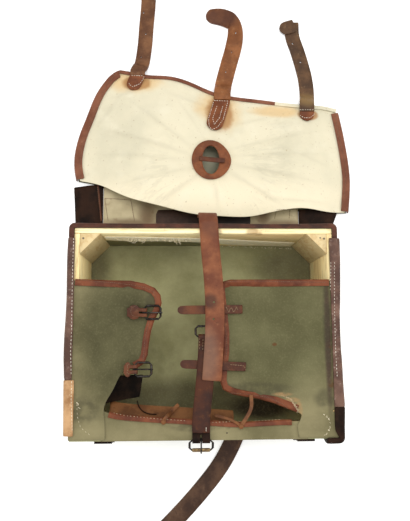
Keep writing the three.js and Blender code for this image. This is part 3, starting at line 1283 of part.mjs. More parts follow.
function buildThongs() {
  const over = THIN_LEATHER + GAP * 3.4;
  const onRim = (x, y) => heightOn(bottomFlap, x, y) + over;
  const onFacing = (x, y) => {
    const rim = rimPoint(x);
    const share = (y - rim.y + EDGING_WIDTH * 0.5) / FACING_WIDTH;
    return rim.z - CANVAS - THIN_LEATHER - GAP - FACING_DROP * share;
  };
  const leftX = -FRAME_WIDTH * 0.155;
  const leftY = rimPoint(leftX).y - EDGING_WIDTH * 0.4;
  const rimEnd = rimPoint(leftX).y + THIN_LEATHER + GAP * 3;
  const tie = [
    [leftX - 1, leftY, onRim(leftX, leftY)], [leftX + 2, rimEnd - 1.5, onRim(leftX, leftY)],
    [leftX + 4, rimEnd + 1, onRim(leftX, leftY) - 1.6],
    [leftX + 6, rimEnd + 2.6, onFacing(leftX, rimEnd) + 4],
    ...[[9, 5], [14, 10], [18, 13]].map(([dx, dy]) =>
      [leftX + dx, rimEnd + dy, onFacing(leftX + dx, rimEnd + dy) + THONG_THICKNESS]),
  ];
  const leftThong = strap({ route: tie, width: THONG_WIDTH, thickness: THONG_THICKNESS, steps: 9 });
  addPiece(box, 'thong_left', join(leftThong, knot(leftX, leftY, onRim(leftX, leftY) + 1.8)), 'tan');

  const loop = [[-34, 18], [-31, 11], [-25, 6], [-16, 4], [-9, 4.5]].map(([dx, dy]) => {
    const x = leftX + dx;
    const y = rimPoint(x).y + dy;
    return new THREE.Vector3(x, y, onFacing(x, y) + THONG_THICKNESS * 0.5);
  });
  addPiece(box, 'thong_loop', wire(loop, THONG_THICKNESS, 10, 5), 'black_leather');

  const rightX = FRAME_WIDTH * 0.133;
  const rightY = rimPoint(rightX).y - EDGING_WIDTH * 0.6;
  const low = onRim(rightX, rightY);
  const edgeZ = heightOn(rightFlap, rightX + 13, -FRAME_HEIGHT * 0.31) + THIN_LEATHER + GAP * 8;
  const strand = [
    [rightX - 1, rightY, low], [rightX + 3, rightY + 6, low], [rightX + 9, rightY + 14, low - 3],
    [rightX + 13, rightY + 22, edgeZ + 4.5], [rightX + 14, rightY + 30, edgeZ + 1],
    [rightX + 13.5, rightY + 38, edgeZ],
  ];
  const second = [
    [rightX + 1, rightY, low], [rightX - 8, rightY + 7, low], [rightX - 20, rightY + 11, low - 4],
    [rightX - 32, rightY + 13.5, low - 7],
  ];
  const rightThong = strap({ route: strand, width: THONG_WIDTH, thickness: THONG_THICKNESS, steps: 9 });
  const tail = strap({ route: second, width: THONG_WIDTH * 0.7, thickness: THONG_THICKNESS, steps: 6 });
  addPiece(box, 'thong_right', join(rightThong, tail, knot(rightX, rightY + 1, low + 1.8)), 'tan');
}

buildFrame();
buildCanvasBody();
buildLiningStrip();
buildFlaps();
buildBottomFlap();
buildInnerLeather();
buildBindings();
buildFrontStraps();
buildFlapBuckles();
buildLowerStrap();
buildSideBuckles();
buildShoulderStrap();
buildThongs();
buildLidCloth();
buildLidEdgings();
buildWings();
buildRing();
buildLidStraps();

export default haversack;
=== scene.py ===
# %% [markdown]
# # A framed haversack, lying open
#
# This pack is a box of green canvas over a pine frame. Its lid is thrown open, so the cream
# linen inside the lid shows, and leather binds every edge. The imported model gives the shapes
# and places of all pieces. The lesson adds what the eye looks for: cloth that ripples, leather
# that is scuffed, stitches, stains, frayed threads and rust.

import math
import random

import bmesh
import bpy
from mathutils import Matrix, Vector, noise
from mathutils.bvhtree import BVHTree


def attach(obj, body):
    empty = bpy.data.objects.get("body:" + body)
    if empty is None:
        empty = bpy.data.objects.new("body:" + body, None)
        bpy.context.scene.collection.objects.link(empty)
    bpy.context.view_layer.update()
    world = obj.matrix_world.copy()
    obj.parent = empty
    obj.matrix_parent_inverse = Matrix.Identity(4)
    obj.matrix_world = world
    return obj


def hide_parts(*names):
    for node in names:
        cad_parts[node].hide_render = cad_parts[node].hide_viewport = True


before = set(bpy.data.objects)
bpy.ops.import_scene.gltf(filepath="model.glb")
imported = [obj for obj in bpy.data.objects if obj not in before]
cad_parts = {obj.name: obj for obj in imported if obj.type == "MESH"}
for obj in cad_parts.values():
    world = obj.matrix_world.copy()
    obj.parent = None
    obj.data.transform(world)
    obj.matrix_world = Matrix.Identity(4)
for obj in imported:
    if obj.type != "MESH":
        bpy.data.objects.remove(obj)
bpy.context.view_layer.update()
MM = 0.001
chance = random.Random(7)
print(len(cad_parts), "packed pieces")

# %% [markdown]
# ## The camera
#
# The photograph looks almost straight down. Its place, tilt and lens were worked out from the
# straight planks of the frame, so they could also be found by lining up a cube by eye. The
# measured way is used, because later steps place stitches by a pixel of the picture.

# %% Camera
PHOTO_WIDTH, PHOTO_HEIGHT = 410, 521
FOCAL_PIXELS = 584.78
SENSOR = 36.0
CAMERA_PLACE = (-0.02949, -0.00839, 0.84406)
CAMERA_TILT = (7.544, -2.306, -0.294)

lens = bpy.data.cameras.new("overhead_camera")
lens.sensor_fit = "VERTICAL"
lens.sensor_height = SENSOR
lens.lens = FOCAL_PIXELS / PHOTO_HEIGHT * SENSOR
camera = bpy.data.objects.new("overhead_camera", lens)
camera.location = CAMERA_PLACE
camera.rotation_euler = [math.radians(angle) for angle in CAMERA_TILT]
bpy.context.scene.collection.objects.link(camera)
bpy.context.scene.camera = camera
print("camera", round(lens.lens, 1), "mm")


# %% [markdown]
# ## Light and floor
#
# The picture is high-key: a white floor without an edge, and shadows so soft that they hardly
# show. One lamp would give hard shadows, so the whole sky is a pale light, and wide panels above
# and at both sides add a little direction.

# %% Light and floor
SKY_STRENGTH = 0.74
WHITE = (1.0, 1.0, 1.0, 1.0)
PANELS = [
    # name, sides in m, watts, place
    ("wide_panel", (1.4, 1.0), 16.0, (0.15, 0.45, 1.6)),
    ("low_panel", (1.2, 1.0), 3.0, (-0.7, -0.6, 1.3)),
    ("right_panel", (0.6, 0.5), 3.0, (1.1, 0.05, 0.72)),
    ("left_panel", (0.6, 0.5), 2.5, (-1.1, 0.05, 0.72)),
]
FLOOR_REACH = 6.0
FLOOR_LEVEL = -0.0003


def light_panel(name, size, power, place):
    lamp = bpy.data.lights.new(name, "AREA")
    lamp.shape = "RECTANGLE"
    lamp.size, lamp.size_y = size
    lamp.energy = power
    panel = bpy.data.objects.new(name, lamp)
    panel.location = place
    panel.rotation_euler = (-Vector(place)).to_track_quat("-Z", "Y").to_euler()
    bpy.context.scene.collection.objects.link(panel)


world = bpy.data.worlds.new("pale_sky")
world.use_nodes = True
sky = world.node_tree.nodes["Background"]
sky.inputs["Color"].default_value = WHITE
sky.inputs["Strength"].default_value = SKY_STRENGTH
bpy.context.scene.world = world
bpy.context.scene.view_settings.view_transform = "Standard"
for panel_row in PANELS:
    light_panel(*panel_row)

floor_mesh = bpy.data.meshes.new("floor")
corner_sides = ((-1, -1), (1, -1), (1, 1), (-1, 1))
floor_corners = [(x * FLOOR_REACH, y * FLOOR_REACH, FLOOR_LEVEL) for x, y in corner_sides]
floor_mesh.from_pydata(floor_corners, [], [(0, 1, 2, 3)])
floor = bpy.data.objects.new("floor", floor_mesh)
bpy.context.scene.collection.objects.link(floor)
print("light and floor are set")


# %% [markdown]
# ## Arithmetic with materials
#
# Every finish mixes noises and masks. They could be wired by hand in the shader editor, but a
# formula is easier to read. So one small class wraps a socket, and writing `a * b + 0.2` adds
# the Math nodes for it. Colours go through Mix nodes instead, because Math turns them grey.

# %% A class for sockets
MIX_MASK, MIX_FIRST, MIX_SECOND, MIX_COLOUR = 0, 6, 7, 2
OBJECT_PLACE = 3
VECTOR_LENGTH = 1
ATTRIBUTE_VALUE = 2


class Flow:
    def __init__(self, tree, socket):
        self.tree, self.socket = tree, socket

    def node(self, kind, settings=None, inputs=None, output=0):
        made = self.tree.nodes.new("ShaderNode" + kind)
        for name, value in (settings or {}).items():
            setattr(made, name, value)
        for name, value in (inputs or {}).items():
            if isinstance(value, Flow):
                self.tree.links.new(value.socket, made.inputs[name])
            elif isinstance(value, tuple) and len(value) == 3 and made.inputs[name].type == "RGBA":
                made.inputs[name].default_value = (*value, 1.0)
            else:
                made.inputs[name].default_value = value
        return Flow(self.tree, made.outputs[output])

    def maths(self, operation, first, second=0.0):
        return self.node("Math", {"operation": operation}, {0: first, 1: second})

    def vector(self, operation, *others, output=0):
        inputs = dict(enumerate((self, *others)))
        return self.node("VectorMath", {"operation": operation}, inputs, output)

    def __add__(self, other):
        return self.maths("ADD", self, other)

    def __sub__(self, other):
        return self.maths("SUBTRACT", self, other)

    def __mul__(self, other):
        return self.maths("MULTIPLY", self, other)

    def __rsub__(self, other):
        return self.maths("SUBTRACT", other, self)

    __radd__ = __add__
    __rmul__ = __mul__

    def top(self, other):
        return self.maths("MAXIMUM", self, other)

    def least(self, other):
        return self.maths("MINIMUM", self, other)

    def along(self, *axes):
        return [self.node("SeparateXYZ", None, {0: self}, output=axis) for axis in axes]

    def sine(self):
        return self.maths("SINE", self)

    def size(self):
        return self.maths("ABSOLUTE", self)

    def step(self, low, high):
        """0 below low, 1 above high, and smooth between them."""
        inputs = {"Value": self, "From Min": low, "From Max": high}
        return self.node("MapRange", {"interpolation_type": "SMOOTHSTEP"}, inputs)

    def tint(self, first, second):
        """The first colour where this mask is 0, the second where it is 1."""
        inputs = {MIX_MASK: self, MIX_FIRST: first, MIX_SECOND: second}
        return self.node("Mix", {"data_type": "RGBA"}, inputs, output=MIX_COLOUR)


# %% [markdown]
# ## Places on the pack
#
# A stain or a worn edge has its place on the object, so each finish reads the object's own
# coordinates. The helpers below give a cloud of noise, a band of threads and a soft spot at a
# given place in millimetres.

# %% Patterns
def stretched(place, scale):
    return place.vector("MULTIPLY", scale)


def cloud(place, scale, detail=4.0, roughness=0.55):
    inputs = {"Vector": place, "Scale": scale, "Detail": detail, "Roughness": roughness}
    return place.node("TexNoise", None, inputs)


def threads(place, scale, direction):
    inputs = {"Vector": place, "Scale": scale, "Distortion": 0.6, "Detail": 1.0}
    return place.node("TexWave", {"bands_direction": direction}, inputs)


def spot(place, center, size, soft=0.35):
    """1 inside an ellipsoid of half sizes size, in mm, and 0 outside it."""
    inverse = Vector([1 / (half * MM) for half in size])
    scaled = place.vector("SUBTRACT", Vector(center) * MM).vector("MULTIPLY", inverse)
    length = scaled.vector("LENGTH", output=VECTOR_LENGTH)
    return 1.0 - length.step(1 - soft, 1 + soft)


def spots(place, rows, soft=0.35):
    masks = [spot(place, center, size, soft) for center, size in rows]
    total = masks[0]
    for mask in masks[1:]:
        total = total.top(mask)
    return total


def start_finish(name):
    material = bpy.data.materials.new(name)
    material.use_nodes = True
    shader = material.node_tree.nodes["Principled BSDF"]
    place = Flow(material.node_tree, None).node("TexCoord", output=OBJECT_PLACE)
    return material, shader, place


def wire_up(material, shader, colour, roughness, height=None, depth=0.0002, strength=0.6,
            metallic=None):
    tree = material.node_tree
    tree.links.new(colour.socket, shader.inputs["Base Color"])
    tree.links.new(roughness.socket, shader.inputs["Roughness"])
    if metallic is not None:
        tree.links.new(metallic.socket, shader.inputs["Metallic"])
    if height is not None:
        inputs = {"Height": height, "Distance": depth, "Strength": strength}
        bump = height.node("Bump", None, inputs)
        tree.links.new(bump.socket, shader.inputs["Normal"])
    return material


# %% [markdown]
# ## Green canvas
#
# The outer cloth is a coarse cotton duck, once olive and now faded to a dusty khaki. A plain
# colour would look like card, so it gets a weave of crossing threads, broad fading and small
# rubbed flecks. Inside the box the canvas is painted lighter, with painted shade low down and
# under the flaps. The flaps carry dirt and painted shade in their folds, and rust has marked
# the right-hand flap.

# %% Canvas
CANVAS_WEAVE = 340.0
LINEN_WEAVE = 420.0


def weave_of(place, scale):
    return threads(place, scale, "X") * 0.5 + threads(place, scale, "Y") * 0.5


def shaded(colour, share):
    return tuple(channel * share for channel in colour)


def canvas_finish(name, dark, light, marks=(), zones=()):
    material, shader, place = start_finish(name)
    weave = weave_of(place, CANVAS_WEAVE)
    fading = cloud(place, 14.0, 5.0).step(0.3, 0.72)
    flecks = cloud(place, 420.0, 3.0).step(0.45, 0.8)
    streaks = cloud(stretched(place, (16.0, 60.0, 60.0)), 1.0, 4.0).step(0.4, 0.75)
    colour = fading.tint(dark, light)
    for rows, zone_dark, zone_light in zones:
        colour = spots(place, rows, 0.45).tint(colour, fading.tint(zone_dark, zone_light))
    colour = (flecks * 0.10).tint(colour, shaded(light, 1.5))
    colour = (streaks * 0.18).tint(colour, shaded(dark, 0.62))
    colour = (weave * 0.16).tint(colour, shaded(dark, 0.55))
    for rows, mark_colour, amount in marks:
        mask = spots(place, rows) * amount * cloud(place, 90.0).step(0.3, 0.6)
        colour = mask.tint(colour, mark_colour)
    shader.inputs["Sheen Weight"].default_value = 0.05
    shader.inputs["Specular IOR Level"].default_value = 0.2
    shader.inputs["Sheen Roughness"].default_value = 0.6
    height = weave * 0.6 + flecks * 0.4
    return wire_up(material, shader, colour, 0.94 - flecks * 0.08, height, 0.00025)


# Each row is the middle and the half sizes of a soft spot, in mm.
RUST = (0.10, 0.045, 0.015)
# Dark marks at seams, edges and creases of the flaps: dirt, with painted shade in the creases.
CREASE_DIRT_AND_SHADE = (0.045, 0.040, 0.022)
rust_marks = [((160, -66, 106), (6, 5, 9)), ((158, -18, 106), (4, 4, 9)),
              ((88, -17, 104), (3, 2, 9))]
flap_dirt = [((-110, 60, 104), (60, 7, 12)), ((-66, 30, 100), (9, 34, 12)),
             ((-150, -95, 106), (20, 16, 12))]
worn_corner = [((96, -79, 104), (12, 2.6, 9)), ((109, -86, 104), (9, 3, 9)),
               ((117, -97, 104), (4, 9, 9)), ((110, -108, 104), (7, 4, 9))]
# The band along the right flap's bottom fold is a painted shadow; the corner and edge marks are
# dirt.
right_dirt_and_shade = [((152, -84, 106), (16, 12, 12)), ((60, -72, 100), (50, 8, 14)),
              ((154, 10, 106), (5, 60, 12))]
# Painted shade: the left flap, bent in along a fold, is painted darker.
left_flap_shade = [((-106, -8, 104), (52, 96, 30))]
right_zone = [((92, 2, 104), (92, 88, 30)), ((20, 20, 104), (30, 60, 30))]
low_dirt = [((-14, -117, 106), (30, 5, 9)), ((28, -118, 106), (3, 2, 9))]
inner_shade = [((142, 92, 3), (62, 34, 60)), ((-160, 92, 3), (28, 40, 60)),
               ((-30, -96, 3), (112, 30, 60))]
# Painted shade: soft dark patches on the back panel below the flap edges and the small straps.
back_panel_shade = [((60, 40, 3), (40, 30, 60)), ((-60, -40, 3), (30, 24, 60))]
pouch_shade = [((84, -106, 3), (44, 17, 60))]
binding_shade = [((155, -12, 106), (4, 82, 9))]
# Painted light: the lid shell seen through the ring hole is painted much lighter than the rest of
# the shell.
hole_painted_light = [((11, 254, 8), (18, 27, 14))]
shell_canvas = canvas_finish("shell_canvas", (0.105, 0.098, 0.050), (0.172, 0.160, 0.088),
                             zones=[(hole_painted_light, (0.40, 0.38, 0.27), (0.54, 0.52, 0.38))])
flap_canvas = canvas_finish(
    "flap_canvas", (0.128, 0.112, 0.052), (0.250, 0.216, 0.112),
    [(flap_dirt + right_dirt_and_shade + low_dirt, CREASE_DIRT_AND_SHADE, 0.5), (rust_marks, RUST, 0.9),
     (worn_corner, (0.30, 0.19, 0.085), 0.9)],
    [(left_flap_shade, (0.048, 0.044, 0.018), (0.104, 0.096, 0.044)),
     (right_zone, (0.080, 0.075, 0.031), (0.150, 0.141, 0.066)),
     (binding_shade, (0.045, 0.027, 0.018), (0.085, 0.050, 0.036))])
# Painted light: the canvas inside the box is a lighter copy of the flap canvas, standing in for
# light that reaches into the box; its zones paint shade under the flaps and low down.
lit_inner_canvas = canvas_finish("lit_inner_canvas", (0.250, 0.240, 0.110), (0.430, 0.410, 0.215),
                             [(back_panel_shade, (0.16, 0.145, 0.07), 0.3)],
                             [(inner_shade, (0.105, 0.094, 0.046), (0.19, 0.175, 0.092)),
                              (pouch_shade, (0.022, 0.015, 0.009), (0.042, 0.028, 0.016))])
print("canvas:", shell_canvas.name, flap_canvas.name, lit_inner_canvas.name)

# %% [markdown]
# ## Cream linen
#
# The lid is lined with a smooth cream linen. Leather oil has soaked out of the strap ends and
# left brown halos with darker rims, and faint folds run out from the ring, with painted grey
# shade along them. Each halo is a soft spot at its own place, broken up by noise so that it
# looks soaked and not painted.

# %% Linen and its halos
RING_MIDDLE = (14, 246, 30)
material, shader, place = start_finish("cream_linen")
weave = weave_of(place, LINEN_WEAVE)
ripple = cloud(place, 45.0, 4.0)
halo_rows = [((27, 322, 24), (22, 32, 30)), ((-97, 369, 12), (22, 13, 20)),
             ((160, 322, 12), (17, 9, 20))]
wide_rows = [((29, 332, 24), (34, 38, 30)), ((-97, 372, 12), (44, 20, 20)),
             ((110, 326, 12), (40, 10, 20))]
ring_rows = [(RING_MIDDLE, (34, 36, 30))]
halo = (spots(place, halo_rows, 0.6) + cloud(place, 60.0) * 0.5 - 0.25).step(0.35, 0.8)
wide = (spots(place, wide_rows, 0.8) + cloud(place, 30.0) * 0.9 - 0.45).step(0.25, 0.95)
around_ring = (spots(place, ring_rows, 0.7) + cloud(place, 50.0) * 0.6 - 0.3).step(0.3, 1.1)
specks = cloud(place, 300.0, 2.0).step(0.66, 0.75)
dust = cloud(place, 9.0, 5.0).step(0.42, 0.75)
low_rows = [((0, 188, 20), (230, 26, 90))]
colour = dust.tint((0.74, 0.675, 0.49), (0.61, 0.565, 0.41))
colour = (spots(place, low_rows, 0.8) * 0.8).tint(colour, (0.90, 0.80, 0.58))
colour = (ripple.step(0.5, 0.75) * 0.25).tint(colour, (0.84, 0.79, 0.62))
colour = (wide * 0.7).tint(colour, (0.70, 0.46, 0.19))
colour = (halo * 0.85).tint(colour, (0.40, 0.19, 0.06))
colour = (around_ring * 0.30).tint(colour, (0.55, 0.42, 0.22))
colour = (specks * 0.5).tint(colour, (0.35, 0.22, 0.10))
print("linen has", len(halo_rows) + len(wide_rows), "halos")

# %% Folds round the ring
middle = place.vector("SUBTRACT", Vector(RING_MIDDLE) * MM)
side, ahead = middle.along(0, 1)
angle = ahead.maths("ARCTAN2", ahead, side)
away = middle.vector("LENGTH", output=VECTOR_LENGTH)
fan = place.node("CombineXYZ", None, {0: angle * 3.4, 1: away * 9.0, 2: 0.5})
rays = cloud(fan, 2.6, 5.0, 0.6)
near_ring = 1.0 - away.step(0.03, 0.19)
patchy = cloud(place, 13.0, 3.0).step(0.48, 0.66)
folded = (rays - 0.5) * 14.0
# Painted shade: the crease mask and the ridge height darken the linen along the folds; the same
# folds also raise the bump.
crease_shade = (1.0 - folded.size().least(1.0)) * near_ring * patchy
ridge_shade = place.node("Attribute", {"attribute_name": "ridge"}, None, output=ATTRIBUTE_VALUE)
colour = (crease_shade * 0.30).tint(colour, (0.42, 0.38, 0.27))
colour = (ridge_shade * 0.2).tint(colour, (0.38, 0.34, 0.24))
height = weave * 0.2 + ripple * 0.7 + rays * near_ring * patchy
linen = wire_up(material, shader, colour, 0.9 - ripple * 0.05, height, 0.0018, 0.8)
print("folds are drawn round", RING_MIDDLE)

# %% Roof linen and torn linen
material, shader, place = start_finish("roof_linen")
soil = cloud(place, 22.0, 5.0).step(0.35, 0.7)
colour = soil.tint((0.52, 0.44, 0.27), (0.36, 0.29, 0.17))
colour = (cloud(place, 120.0).step(0.6, 0.75) * 0.5).tint(colour, (0.22, 0.14, 0.07))
# Painted shade: dark brown spots on the roof linen, under the pouch's mouth and between the roof
# boxes and the band.
roof_shade_rows = [((-80, 168, 50), (12, 26, 200)), ((92, 166, 50), (10, 20, 200)),
             ((150, 160, 50), (8, 26, 200)), ((-104, 157, 2), (42, 7, 90)),
             ((120, 156, 2), (42, 7, 90))]
colour = (spots(place, roof_shade_rows, 0.7) * 0.75).tint(colour, (0.12, 0.065, 0.03))
height = soil + threads(place, LINEN_WEAVE, "X") * 0.3
roof_linen = wire_up(material, shader, colour, soil * 0.05 + 0.88, height, 0.0004)

# Painted light: the torn strip is a lighter copy of the linen, to offset the shade on the hanging
# strip.
material, shader, place = start_finish("torn_linen")
fluff = cloud(place, 260.0, 4.0).step(0.3, 0.7)
colour = fluff.tint((1.0, 0.90, 0.62), (1.0, 0.95, 0.74))
torn_linen = wire_up(material, shader, colour, fluff * 0.1 + 0.85, fluff, 0.0005)
print("roof linen has", len(roof_shade_rows), "painted_shade_spots")

# %% [markdown]
# ## Leather
#
# All leather here is old. The chestnut kind has dark, greasy parts, dry cracked parts and pale
# scuffs, mostly along its edges. A bevel-like mask from the mesh is not used, so the scuffs come
# from stretched noise and from the worn places seen in the picture.

# %% Leather
def leather_finish(name, dark, middle, pale, scuffs=0.35, rough=0.6, shine=0.22, marks=()):
    material, shader, place = start_finish(name)
    patches = cloud(place, 38.0, 5.0, 0.6)
    cells = {"Vector": place, "Scale": 620.0}
    grain = place.node("TexVoronoi", {"feature": "DISTANCE_TO_EDGE"}, cells)
    cracks = cloud(stretched(place, (160.0, 420.0, 160.0)), 1.0, 5.0, 0.65)
    rubbed = cloud(place, 150.0, 6.0, 0.7).step(0.55, 0.75)
    colour = patches.step(0.36, 0.66).tint(dark, middle)
    colour = (rubbed * scuffs).tint(colour, pale)
    colour = (cracks.step(0.6, 0.72) * 0.6).tint(colour, shaded(dark, 0.35))
    for rows, mark_colour, amount in marks:
        colour = (spots(place, rows, 0.5) * amount).tint(colour, mark_colour)
    roughness = patches * 0.25 + rubbed * 0.15 + (rough - 0.15)
    height = grain.step(0.0, 0.25) * 0.3 + cracks * 0.5 + patches * 0.4
    shader.inputs["Specular IOR Level"].default_value = shine
    return wire_up(material, shader, colour, roughness, height, 0.00035)


# %% Kinds of leather
CENTER_MARKS = [
    ([((7, 37, 110), (9, 9, 12))], (0.030, 0.014, 0.009), 0.65),
    ([((2, -30, 110), (14, 34, 12))], (0.16, 0.105, 0.075), 0.5),
    ([((8, 130, 106), (13, 12, 16))], (0.10, 0.035, 0.018), 0.6),
]
TIP_MARKS = [([((28, 478, 10), (40, 17, 30))], (0.045, 0.016, 0.012), 0.7)]
ROOT_MARKS = [([((160, 346, 8), (14, 12, 20))], (0.26, 0.16, 0.06), 0.6)]
# Painted shadow: the right part of the roof band, under the pouch's mouth, is painted near black.
BAND_SHADOW = [([((60, 170, 50), (70, 60, 200))], (0.008, 0.005, 0.004), 0.8)]
LEATHERS = [
    # finish, dark, middle and pale colour, what else sets it apart
    ("chestnut_leather", (0.050, 0.014, 0.006), (0.120, 0.038, 0.014), (0.30, 0.15, 0.08), {}),
    ("lower_strap_leather", (0.026, 0.006, 0.002), (0.060, 0.015, 0.004), (0.21, 0.085, 0.03),
     {"scuffs": 0.3}),
    ("binding_leather", (0.066, 0.030, 0.020), (0.150, 0.080, 0.055), (0.44, 0.34, 0.28),
     {"scuffs": 0.6}),
    ("hem_leather", (0.030, 0.009, 0.004), (0.085, 0.026, 0.012), (0.22, 0.10, 0.06), {}),
    ("lid_edging_leather", (0.130, 0.040, 0.018), (0.200, 0.072, 0.036), (0.34, 0.18, 0.11), {}),
    ("flap_edging_leather", (0.085, 0.020, 0.007), (0.170, 0.048, 0.018), (0.36, 0.17, 0.08), {}),
    ("center_strap_leather", (0.120, 0.032, 0.012), (0.215, 0.072, 0.028), (0.36, 0.18, 0.10),
     {"marks": CENTER_MARKS}),
    ("lid_strap_leather", (0.090, 0.034, 0.013), (0.180, 0.078, 0.032), (0.36, 0.22, 0.12), {}),
    ("bright_strap_leather", (0.15, 0.050, 0.014), (0.27, 0.10, 0.032), (0.44, 0.25, 0.12),
     {"marks": TIP_MARKS}),
    ("ring_leather", (0.11, 0.030, 0.009), (0.21, 0.066, 0.022), (0.40, 0.20, 0.09), {}),
    ("olive_strap_leather", (0.054, 0.026, 0.012), (0.115, 0.057, 0.025), (0.30, 0.19, 0.10),
     {"scuffs": 0.5, "marks": ROOT_MARKS}),
    ("black_leather", (0.007, 0.003, 0.0015), (0.024, 0.010, 0.005), (0.09, 0.05, 0.035),
     {"scuffs": 0.2, "shine": 0.08}),
    ("band_leather", (0.018, 0.008, 0.004), (0.055, 0.028, 0.018), (0.12, 0.07, 0.05),
     {"marks": BAND_SHADOW}),
    # The flap's folded-in corner is dark leather, with painted shade of the deep fold making it
    # near black.
    ("shadowed_leather", (0.003, 0.0018, 0.0012), (0.013, 0.007, 0.004), (0.05, 0.03, 0.02),
     {"scuffs": 0.2, "rough": 0.65, "shine": 0.05}),
    ("shoulder_leather", (0.034, 0.014, 0.007), (0.085, 0.042, 0.022), (0.22, 0.13, 0.08), {}),
    ("tan_leather", (0.28, 0.14, 0.055), (0.52, 0.31, 0.15), (0.72, 0.52, 0.32), {"rough": 0.65}),
    ("facing_leather", (0.080, 0.028, 0.007), (0.15, 0.060, 0.018), (0.30, 0.16, 0.06), {}),
    ("thong_leather", (0.085, 0.030, 0.010), (0.19, 0.072, 0.022), (0.34, 0.18, 0.08), {}),
]
leathers = {name: leather_finish(name, dark, middle, pale, **special)
            for name, dark, middle, pale, special in LEATHERS}
print("leather in", len(leathers), "finishes")


# %% [markdown]
# ## Pine, iron, brass and thread
#
# The planks are bare planed pine. Their grain runs along each plank, so the noise is stretched
# along X for the long planks and along Y for the sides. The buckles are blackened iron that has
# rusted, with a brass roller, and the thread is waxed linen.

# %% Wood
def pine_finish(name, stretch, light, deep, marks=(), glued=None):
    material, shader, place = start_finish(name)
    rings = cloud(stretched(place, stretch), 1.0, 6.0, 0.6)
    lines = (rings * 46.0).sine() * 0.5 + 0.5
    colour = rings.step(0.35, 0.7).tint(light, deep)
    colour = (lines.step(0.6, 1.0) * 0.45).tint(colour, (0.50, 0.31, 0.12))
    colour = (cloud(place, 260.0).step(0.64, 0.72) * 0.4).tint(colour, (0.35, 0.22, 0.09))
    for rows, mark_colour, amount in marks:
        colour = (spots(place, rows) * amount).tint(colour, mark_colour)
    if glued:
        across, height = place.along(0, 2)
        edge = cloud(place, 60.0) * 0.012
        low = 1.0 - (height + edge).step(0.052, 0.055)
        colour = (low * (1.0 - across.step(0.004, 0.010))).tint(colour, glued)
    return wire_up(material, shader, colour, lines * 0.1 + 0.55, lines * 0.6 + rings, 0.0003)


PALE_PINE, DEEP_PINE = (1.0, 0.87, 0.49), (0.86, 0.66, 0.31)
STAIN = (0.26, 0.12, 0.03)
NAIL = (0.05, 0.035, 0.025)
GREEN_GLUE = (0.20, 0.19, 0.09)
nails = [((-154, 118, 105), (1.3, 1.3, 3)), ((155, 118, 105), (1.3, 1.3, 3)),
         ((150, 119, 105), (1.0, 1.0, 3))]
knots = [((62, 126, 104), (8, 6, 9)), ((71, 124, 98), (5, 5, 8)), ((16, 126, 104), (7, 5, 9))]
warm_side = [((84, 128, 84), (80, 8, 16))]
top_marks = [(knots, STAIN, 0.6), (warm_side, (0.72, 0.46, 0.19), 0.5)]
pine_across = pine_finish("pine_across", (5.0, 90.0, 45.0), PALE_PINE, DEEP_PINE, top_marks,
                          GREEN_GLUE)
pine_along = pine_finish("pine_along", (90.0, 5.0, 45.0), (1.0, 0.86, 0.47), (0.93, 0.70, 0.32))
pine_block = pine_finish("pine_block", (38.0, 38.0, 12.0), (0.69, 0.55, 0.29), (0.57, 0.42, 0.20),
                         [(nails, NAIL, 0.95)])
print("pine:", pine_across.name, pine_along.name, pine_block.name)


# %% Metal and thread
def metal_finish(name, dark, light, rust, amount):
    material, shader, place = start_finish(name)
    worn = cloud(place, 260.0, 4.0).step(0.4, 0.7)
    rusty = cloud(place, 420.0, 5.0, 0.7).step(0.7 - amount, 0.8 - amount * 0.5)
    colour = rusty.tint(worn.tint(dark, light), rust)
    height = rusty + worn * 0.3
    return wire_up(material, shader, colour, rusty * 0.35 + 0.38, height, strength=0.5,
                   metallic=0.85 - rusty * 0.7)


iron = metal_finish("dark_iron", (0.010, 0.009, 0.008), (0.045, 0.040, 0.036),
                    (0.060, 0.026, 0.012), 0.2)
brass = metal_finish("worn_brass", (0.20, 0.13, 0.055), (0.40, 0.28, 0.13),
                     (0.08, 0.036, 0.016), 0.25)


def thread_finish(name, dark, light):
    material, shader, place = start_finish(name)
    shade = cloud(place, 500.0, 3.0).step(0.35, 0.65)
    return wire_up(material, shader, shade.tint(dark, light), shade * 0.1 + 0.75)


white_thread = thread_finish("waxed_thread", (0.50, 0.42, 0.32), (0.80, 0.74, 0.62))
brown_thread = thread_finish("brown_thread", (0.10, 0.05, 0.03), (0.20, 0.11, 0.06))
cream_thread = thread_finish("cream_thread", (0.62, 0.52, 0.34), (0.85, 0.77, 0.58))
orange_thread = thread_finish("tan_thread", (0.17, 0.11, 0.055), (0.32, 0.22, 0.12))
frayed_thread = thread_finish("frayed_thread", (0.28, 0.20, 0.11), (0.50, 0.39, 0.24))
print("metal:", iron.name, brass.name)

# %% Floor finish
FLOOR_GLOW = 0.22
floor_material, shader, place = start_finish("pale_floor")
floor_shade = cloud(place, 3.0).tint((0.90, 0.90, 0.90), (0.93, 0.93, 0.93))
shader.inputs["Emission Color"].default_value = WHITE
shader.inputs["Emission Strength"].default_value = FLOOR_GLOW
floor_rough = cloud(place, 5.0) * 0.1 + 0.8
floor_mesh.materials.append(wire_up(floor_material, shader, floor_shade, floor_rough))
print("the floor is", floor_material.name)


# %% [markdown]
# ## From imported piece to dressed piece
#
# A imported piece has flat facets. It could be modelled again from nothing, but its place is
# exact, so its mesh is copied, welded and turned back into quads. Cloth is then subdivided with
# its rims creased, and it gets a small ripple. Both faces of a cloth move by the same amount,
# so its thickness stays.

# %% Dressing a piece
SHARP = math.radians(38)
BEVELLED = math.radians(35)
WELD = 2e-6
QUAD_TURN, QUAD_SKEW = 0.7, 1.2


def welded(node):
    mesh = bmesh.new()
    mesh.from_mesh(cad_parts[node].data)
    bmesh.ops.remove_doubles(mesh, verts=mesh.verts, dist=WELD)
    return mesh


